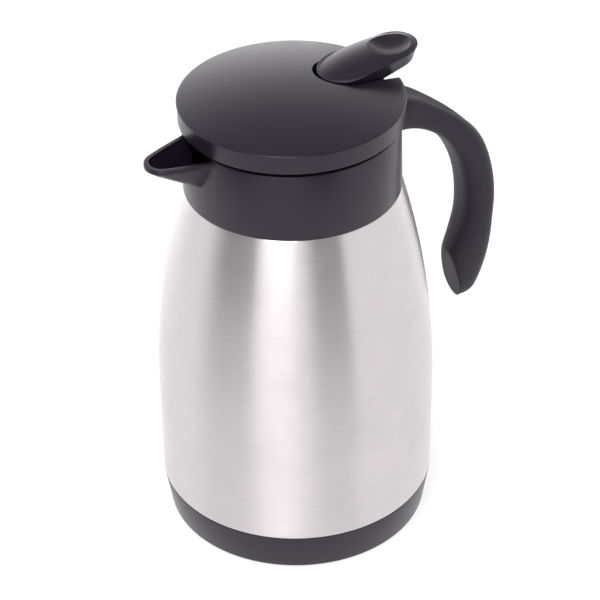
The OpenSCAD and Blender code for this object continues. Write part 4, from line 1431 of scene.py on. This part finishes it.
@dataclass
class ThumbLever:
    """The thumb lever with its dished pad and forked nose."""

    reach: float = 62.9
    front_r: float = 13.3
    rear_r: float = 11.5
    rear_h: float = 11.6
    under_h: float = 6.8
    rise_deg: float = 7.4
    under_deg: float = 13.0
    crown: float = 3.0
    dish_r: float = 8.8
    dish_depth: float = 2.5
    gap: float = 1.9
    tip_over: float = 0.3
    front_drop: float = 1.3
    rear_drop: float = 0.7
    flare_front_in: float = 1.1
    flare_rear_in: float = 0.4
    slot_play: float = 0.3
    dish_in: float = 1.6
    pin_x: float = 27.0
    pin_z: float = 211.4
    pin_r: float = 1.5
    boss_r: float = 2.8
    cheek_in: float = 7.0
    nose_x: float = -5.0
    nose_half_w: float = 6.0
    nose_z: float = 208.9
    nose_h: float = 4.0
    web_front: float = 8.0
    web_l: float = 10.0
    stem_r: float = 2.5
    around: int = 96

    def _top(self, x: float) -> float:
        """Height of the top edge's plane."""
        return PLAN.edge_z + self.rear_h - (self.reach - x) * math.tan(math.radians(self.rise_deg))

    def _under(self, x: float) -> float:
        """Height of the underside's plane."""
        return PLAN.edge_z + self.under_h - (self.reach - x) * math.tan(math.radians(self.under_deg))

    def _outline(self, front: tuple[float, float], rear: tuple[float, float]) -> list[Vector]:
        """Evenly numbered points of the hull of two circles in plan.

        Args:
            front: Centre and radius of the front circle.
            rear: Centre and radius of the rear circle.

        Returns:
            Points from the rear end round both sides.
        """
        lean = math.asin((front[1] - rear[1]) / (rear[0] - front[0]))
        half = math.pi / 2 - lean
        quarter = self.around // 4
        points = []
        for (x, r), low, high in ((rear, -half, half), (front, half, math.tau - half)):
            points += [Vector((x + r * math.cos(a), r * math.sin(a), 0.0))
                       for a in steps(low, high, 2 * quarter - 1)]
        straight = []
        for start, end in ((points[2 * quarter - 1], points[2 * quarter]), (points[-1], points[0])):
            straight.append([start.lerp(end, t) for t in steps(0.0, 1.0, 9)[1:-1]])
        return [*points[:2 * quarter], *straight[0], *points[2 * quarter:], *straight[1]]

    def _crown_at(self, x: float, y: float, middle: float, half_l: float) -> float:
        """Height of the crowned top above its edge."""
        along_r = (half_l ** 2 + self.crown ** 2) / (2 * self.crown)
        across_r = (self.front_r ** 2 + self.crown ** 2) / (2 * self.crown)
        side = math.sqrt(max(across_r ** 2 - y ** 2, 0.0)) - across_r
        return math.sqrt(max((along_r + side) ** 2 - (x - middle) ** 2, 0.0)) - along_r + self.crown

    def _blade(self, slot: LidTop) -> bpy.types.Mesh:
        """The lever's body with its crowned top."""
        low_front_r = slot.slot_front_r - self.gap
        low_front_x = slot.slot_x + self.gap + low_front_r
        front_x = slot.slot_x + self.gap + self.tip_over + self.front_r
        flare_r = self.front_r - self.flare_front_in
        flare_x = slot.slot_x + self.gap + self.tip_over / 2 + flare_r
        rear_x = self.reach - self.rear_r
        low = self._outline((low_front_x, low_front_r), (rear_x, slot.slot_rear_w - self.slot_play))
        flare = self._outline((flare_x, flare_r), (rear_x, self.rear_r - self.flare_rear_in))
        edge = self._outline((front_x, self.front_r), (rear_x, self.rear_r))

        def drop(x: float) -> float:
            """How far below the top edge the flare starts."""
            t = (x - flare_x) / (rear_x - flare_x)
            return self.front_drop + (self.rear_drop - self.front_drop) * min(max(t, 0.0), 1.0)

        rings = [[Vector((q.x, q.y, self._under(q.x))) for q in low],
                 [Vector((q.x, q.y, self._top(q.x) - drop(q.x))) for q in flare],
                 [Vector((q.x, q.y, self._top(q.x))) for q in edge]]
        half_l = self._half_l
        middle = self.reach - half_l
        for s in steps(1.0, 0.0, 24)[1:]:
            ring = []
            for q in edge:
                spine = Vector((min(max(q.x, front_x), rear_x), 0.0, 0.0))
                spot = spine.lerp(q, s)
                high = self._top(spot.x) + max(self._crown_at(spot.x, spot.y, middle, half_l), 0.0)
                ring.append(Vector((spot.x, spot.y, high)))
            rings.append(ring)
        return loft(rings, "blade")

    def _dish(self) -> bpy.types.Mesh:
        """The ball that hollows the thumb dish."""
        ball_r = (self.dish_r ** 2 + self.dish_depth ** 2) / (2 * self.dish_depth)
        x = self.reach - self.rear_r - self.dish_in
        half_l = self._half_l
        middle = self.reach - half_l
        side = self.crown * (1 - (self.dish_r / self.front_r) ** 2 - ((x - middle) / half_l) ** 2)
        return hull_mesh(ball_points((x, 0.0, self._top(x) + side - self.dish_depth + ball_r),
                                     ball_r, 192))

    @property
    def _half_l(self) -> float:
        """Half the length of the lever's top."""
        return (self.reach - LidTop.slot_x - self.gap - self.tip_over) / 2

    def _cylinder(self, radius: float, half_l: float, around: int = 64) -> bpy.types.Mesh:
        """A round bar along the pin."""
        return hull_mesh([
            (self.pin_x + radius * math.cos(a), y, self.pin_z + radius * math.sin(a))
            for a in steps(0.0, math.tau, around) for y in (-half_l, half_l)])

    def build(self, shop: Workshop) -> None:
        """Builds and shows the lever.

        Args:
            shop: The trees and finishes.
        """
        wide = self.cheek_in - 0.2
        nose = box_mesh((self.nose_x, -self.nose_half_w, self.nose_z),
                        (self.pin_x, self.nose_half_w, self.nose_z + self.nose_h))
        web = box_mesh((self.pin_x - self.web_front, -wide, self.nose_z),
                       (self.pin_x - self.web_front + self.web_l, wide,
                        self._under(self.pin_x) + 1.5))
        fork_w = self.stem_r + 0.5
        eye = hull_mesh([q + Vector((0.0, 0.0, z)) for q in ring_points((0.0, 0.0, 0.0), fork_w)
                         for z in (self.nose_z - 1.0, self.nose_z + self.nose_h + 1.0)])
        gate = box_mesh((self.nose_x - 1.0, -fork_w, self.nose_z - 1.0),
                        (0.0, fork_w, self.nose_z + self.nose_h + 1.0))
        solid = combined(self._blade(LidTop()), (Boolean.CUT, self._dish()), (Boolean.JOIN, nose),
                         (Boolean.JOIN, web), (Boolean.JOIN, self._cylinder(self.boss_r, wide)),
                         (Boolean.CUT, self._cylinder(self.pin_r + 0.05, 4 * wide)),
                         (Boolean.CUT, eye), (Boolean.CUT, gate))
        shop.show("thumb_lever_piece", solid, Body.LEVER, Slot.BLACK, ["thumb_lever"], 26.0)


@dataclass
class ValveTrain:
    """The valve's stem, cap, disc, seals and spring, and the stopper's gasket."""

    deck_z: float = 204.0
    deck_t: float = 2.5
    stopper_z: float = 176.5
    floor_t: float = 2.5
    seat_h: float = 1.5
    port_r: float = 13.0
    disc_r: float = 17.0
    disc_t: float = 2.1
    seal_t: float = 1.3
    seal_w: float = 4.0
    stem_r: float = 2.5
    screw_hole_r: float = 1.45
    screw_l: float = 8.0
    cap_r: float = 4.5
    cap_h: float = 3.0
    cap_z: float = 213.0
    gland_z: float = 200.0
    gland_shoulder: float = 1.5
    gland_r: float = 6.0
    spring_r: float = 5.6
    spring_wire: float = 1.2
    spring_turns: float = 8.0
    gasket_r: float = 38.4
    gasket_lip: float = 40.8
    gasket_z: float = 181.5
    gasket_h: float = 4.0
    running: float = 0.05

    @property
    def disc_z(self) -> float:
        """Height of the disc's underside."""
        return self.stopper_z + self.floor_t + self.seat_h + self.running + self.seal_t

    def build(self, shop: Workshop) -> None:
        """Builds and shows the parts.

        Args:
            shop: The trees and finishes.
        """
        low, top = self.disc_z, self.disc_z + self.disc_t
        seal_r = self.port_r - 1.5
        seal_in = seal_r + self.running
        hole = self.screw_hole_r
        shop.turned("valve_disc_piece", [
            (hole, low - self.seal_t), (seal_r, low - self.seal_t, 0.3), (seal_r, low),
            (self.disc_r, low, 0.4), (self.disc_r, top, 0.6), (hole, top)],
            Body.VALVE, Slot.INNER_PLASTIC, "valve_disc", 128)
        shop.turned("valve_seal_piece", [
            (seal_in, low - self.seal_t, 0.3), (seal_in + self.seal_w, low - self.seal_t, 0.4),
            (seal_in + self.seal_w, low, 0.3), (seal_in, low, 0.3)],
            Body.VALVE, Slot.RUBBER, "valve_seal", 128)
        stem_top = self.cap_z + self.cap_h + 0.5
        shop.turned("valve_stem_piece", [
            (hole, top), (self.stem_r, top, 0.2), (self.stem_r, stem_top, 0.6), (0.0, stem_top),
            (0.0, top + self.screw_l), (hole, top + self.screw_l)],
            Body.VALVE, Slot.INNER_PLASTIC, "valve_stem", 64)
        shop.turned("stem_cap_piece", [
            (self.stem_r + self.running, self.cap_z, 0.2), (self.cap_r, self.cap_z, 0.4),
            (self.cap_r, self.cap_z + self.cap_h, 0.8),
            (self.stem_r + self.running, self.cap_z + self.cap_h, 0.2)],
            Body.VALVE, Slot.INNER_PLASTIC, "stem_cap", 64)
        gland = self.gland_z + self.gland_shoulder + self.running
        shop.turned("stem_seal_piece", [
            (self.stem_r + 0.1, gland, 0.4), (self.gland_r - self.running, gland, 0.3),
            (self.gland_r - self.running, self.deck_z + self.deck_t - self.running, 0.3),
            (self.stem_r + 0.1, self.deck_z + self.deck_t - self.running, 0.4)],
            Body.LID, Slot.RUBBER, "stem_seal", 64)
        shop.screw_set("valve_screw_piece", [(0.0, 0.0, low - self.seal_t)], (0.0, 0.0, 1.0),
                       self.disc_t + self.seal_t + self.screw_l - 0.5, Body.VALVE, "valve_screw")
        self._spring(shop, top)
        self._gasket(shop)

    def _spring(self, shop: Workshop, low: float) -> None:
        """Shows the return spring at its resting length."""
        wire = self.spring_wire / 2
        seed = polygon_mesh("seed", [(0.0, 0.0, 0.0)])
        mesh = shop.coil.run(seed, {
            "Coil Radius": self.spring_r * MM, "Wire Radius": wire * MM,
            "Turns": self.spring_turns, "Low": (low + wire) * MM,
            "High": (self.gland_z - wire) * MM, "Steps": 320,
            "Material": shop.finishes.fastener})
        spring = shop.show("valve_spring_piece", tidied(mesh, 0.0001), Body.LID, Slot.FASTENER,
                           ["valve_spring"])
        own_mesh(spring)

    def _gasket(self, shop: Workshop) -> None:
        """Shows the stopper's gasket with its two lips."""
        low, top = self.gasket_z + self.running, self.gasket_z + self.gasket_h - self.running
        middle = (low + top) / 2
        shop.turned("stopper_gasket_piece", [
            (self.gasket_r + self.running, low, 0.3), (self.gasket_lip - 0.3, low, 0.4),
            (self.gasket_lip, middle - 1.2, 0.4), (self.gasket_lip, middle - 0.8, 0.3),
            (self.gasket_lip - 0.8, middle, 0.5), (self.gasket_lip, middle + 0.8, 0.3),
            (self.gasket_lip, middle + 1.2, 0.4), (self.gasket_lip - 0.3, top, 0.4),
            (self.gasket_r + self.running, top, 0.3)],
            Body.LID_SEAL, Slot.RUBBER, "stopper_gasket", 192)


@dataclass
class StopperAndCradle:
    """The stopper and the lever's cradle, as the CAD has them, with their screws and pin."""

    cradle_top: float = 208.3
    cradle_t: float = 1.8
    screw_x: tuple[float, float] = (-6.0, 17.0)
    screw_y: float = 9.6
    screw_depth: float = 1.9
    carried: Sequence[tuple[str, Body, Slot]] = (
        ("stopper", Body.LID, Slot.INNER_PLASTIC),
        ("lever_cradle", Body.LID, Slot.INNER_PLASTIC),
        ("lever_pin", Body.LID, Slot.FASTENER),
    )

    def build(self, shop: Workshop) -> None:
        """Shows the parts.

        Args:
            shop: The trees and finishes.
        """
        for node, body, slot in self.carried:
            shop.show(node + "_piece", merged_copy(node), body, slot, [node])
        places = [(x, side * self.screw_y, self.cradle_top) for x in self.screw_x
                  for side in (-1, 1)]
        shop.screw_set("cradle_screw_set", places, (0.0, 0.0, -1.0),
                       self.cradle_t + self.screw_depth, Body.LID, "cradle_screws")


# Studio


@dataclass(frozen=True)
class DarkGap:
    """A dark part of the room that the steel mirrors."""

    low_deg: float
    low_soft: float
    high_deg: float
    high_soft: float
    depth: float = 0.92
    top: float = 0.2
    fade: float = 0.35


@dataclass
class Studio:
    """Pale floor, soft light and a camera that looks as the photograph does."""

    camera_mm: tuple[float, float, float] = (-451.3, -781.7, 744.7)
    look: tuple[float, float, float] = (0.4108, 0.7070, -0.5756)
    right: tuple[float, float, float] = (0.8603, -0.5097, -0.0121)
    lens_mm: float = 144.0
    sensor_mm: float = 36.0
    floor_half: float = 0.5
    wall_level: float = 1.1
    ceiling_level: float = 0.45
    wall_fade: tuple[float, float] = (0.35, 0.85)
    backdrop_level: float = 2.3
    backdrop_top: float = 0.45
    backdrop_fade: tuple[float, float] = (0.1, 0.8)
    backdrop_deg: tuple[float, ...] = (-150.0, -105.0, 115.0, 155.0)
    floor_glow: float = 0.78
    lamp_aim_z: float = 0.12
    gaps: tuple[DarkGap, ...] = (DarkGap(-76.0, 14.0, -34.0, 3.0),
                                 DarkGap(14.0, 9.0, 46.0, 3.0),
                                 DarkGap(148.0, 8.0, 173.0, 5.0, 0.85, 0.1))

    def build(self) -> None:
        """Builds the floor, the lights and the camera."""
        self._floor()
        self._world()
        self._lamps()
        self._camera()

    def _floor(self) -> None:
        """Lays the floor."""
        mesh = bpy.data.meshes.new("floor")
        h = self.floor_half
        mesh.from_pydata([(-h, -h, 0), (h, -h, 0), (h, h, 0), (-h, h, 0)], [], [(0, 1, 2, 3)])
        desk = FinishDesk("floor_paper")
        pale = desk.noise(desk.place, 3.0, 2.0)
        mesh.materials.append(desk.close({
            "Base Color": desk.blend(pale, (0.30, 0.30, 0.30), (0.33, 0.33, 0.33)),
            "Roughness": 0.9,
            "Emission Color": (1.0, 1.0, 1.0),
            "Emission Strength": self.floor_glow,
        }))
        floor = bpy.data.objects.new("floor", mesh)
        bpy.context.scene.collection.objects.link(floor)

    def _world(self) -> None:
        """Lights the room: a bright backdrop, a dimmer ceiling and dark gaps between screens."""
        world = bpy.data.worlds.new("studio")
        bpy.context.scene.world = world
        world.use_nodes = True
        world.node_tree.nodes.clear()
        desk = NodeDesk(world.node_tree)
        aim = desk.node("ShaderNodeTexCoord").outputs["Generated"]
        apart = desk.node("ShaderNodeSeparateXYZ", None, {0: aim}).outputs
        x, y, z = (Term(desk, socket) for socket in apart)
        front = math.atan2(-self.look[1], -self.look[0])
        ahead = x * math.cos(front) + y * math.sin(front)
        aside = y * math.cos(front) - x * math.sin(front)
        turn = desk.calc("ARCTAN2", aside, ahead)

        def ramp(value: Term, low: float, high: float, start: float, end: float) -> Term:
            """A smooth step between two levels."""
            return desk.term("ShaderNodeMapRange", "Result", {"interpolation_type": "SMOOTHSTEP"},
                             {"Value": value, "From Min": low, "From Max": high,
                              "To Min": start, "To Max": end})

        light: Any = ramp(z, *self.wall_fade, self.wall_level, self.ceiling_level)
        left, left_end, right_end, right = (math.radians(deg) for deg in self.backdrop_deg)
        behind = ramp(turn, left, left_end, 1.0, 0.0) + ramp(turn, right_end, right, 0.0, 1.0)
        glow = ramp(z, *self.backdrop_fade, self.backdrop_level, self.backdrop_top)
        light = light + behind * (glow - light)
        for gap in self.gaps:
            starts = ramp(turn, math.radians(gap.low_deg - gap.low_soft),
                          math.radians(gap.low_deg + gap.low_soft), 0.0, gap.depth)
            ends = ramp(turn, math.radians(gap.high_deg - gap.high_soft),
                        math.radians(gap.high_deg + gap.high_soft), 1.0, 0.0)
            over = ramp(z, gap.top, gap.top + gap.fade, 1.0, 0.0)
            light = light * (1.0 - starts * ends * over)
        seen = desk.term("ShaderNodeLightPath", "Is Camera Ray")
        light = seen + (1.0 - seen) * light
        shade = desk.node("ShaderNodeBackground", None, {"Color": (1.0, 1.0, 1.0), "Strength": light})
        desk.node("ShaderNodeOutputWorld", None, {"Surface": shade.outputs[0]})

    def _lamps(self) -> None:
        """Adds the soft boxes."""
        self._soft_box("key", -14.0, 36.0, (0.80, 1.7), 1.05)
        self._soft_box("glint", -20.0, 66.0, (0.45, 0.28), 30.0)

    def _soft_box(self, name: str, turn_deg: float, rise_deg: float,
                  size: tuple[float, float], level: float, far: float = 1.6) -> None:
        """Adds one area light that faces the carafe.

        Args:
            name: The lamp's name.
            turn_deg: Its place round the carafe, from the camera's side.
            rise_deg: Its height over the horizon.
            size: Its width and height in metres.
            level: Its brightness, where white paper is 1.
            far: Its distance in metres.
        """
        data = bpy.data.lights.new(name, "AREA")
        data.shape = "RECTANGLE"
        data.size, data.size_y = size
        data.energy = level * math.pi * size[0] * size[1]
        lamp = bpy.data.objects.new(name, data)
        bpy.context.scene.collection.objects.link(lamp)
        turn = math.atan2(-self.look[1], -self.look[0]) + math.radians(turn_deg)
        rise = math.radians(rise_deg)
        aim = Vector((math.cos(rise) * math.cos(turn), math.cos(rise) * math.sin(turn), math.sin(rise)))
        lamp.location = Vector((0.0, 0.0, self.lamp_aim_z)) + aim * far
        lamp.rotation_mode = "QUATERNION"
        lamp.rotation_quaternion = aim.to_track_quat("Z", "Y")

    def _camera(self) -> None:
        """Stands the camera where the photograph was taken from."""
        look, right = Vector(self.look).normalized(), Vector(self.right).normalized()
        up = right.cross(look)
        data = bpy.data.cameras.new("camera")
        data.lens, data.sensor_width = self.lens_mm, self.sensor_mm
        data.clip_start, data.clip_end = 0.05, 50.0
        camera = bpy.data.objects.new("camera", data)
        bpy.context.scene.collection.objects.link(camera)
        turn = Matrix((right, up, -look)).transposed()
        camera.matrix_world = Matrix.Translation(Vector(self.camera_mm) * MM) @ turn.to_4x4()
        bpy.context.scene.camera = camera
        bpy.context.scene.view_settings.view_transform = "Standard"


def main() -> None:
    """Builds the carafe and the studio."""
    logging.basicConfig(level=logging.INFO, format="%(name)s %(message)s")
    shop = Workshop(Finishes())
    for part in (SteelVessel(), BaseCup(), CollarWithSpout(), Handle(), LidTop(), ThumbLever(),
                 ValveTrain(), StopperAndCradle()):
        part.build(shop)
    Studio().build()


if __name__ == "__main__":
    main()
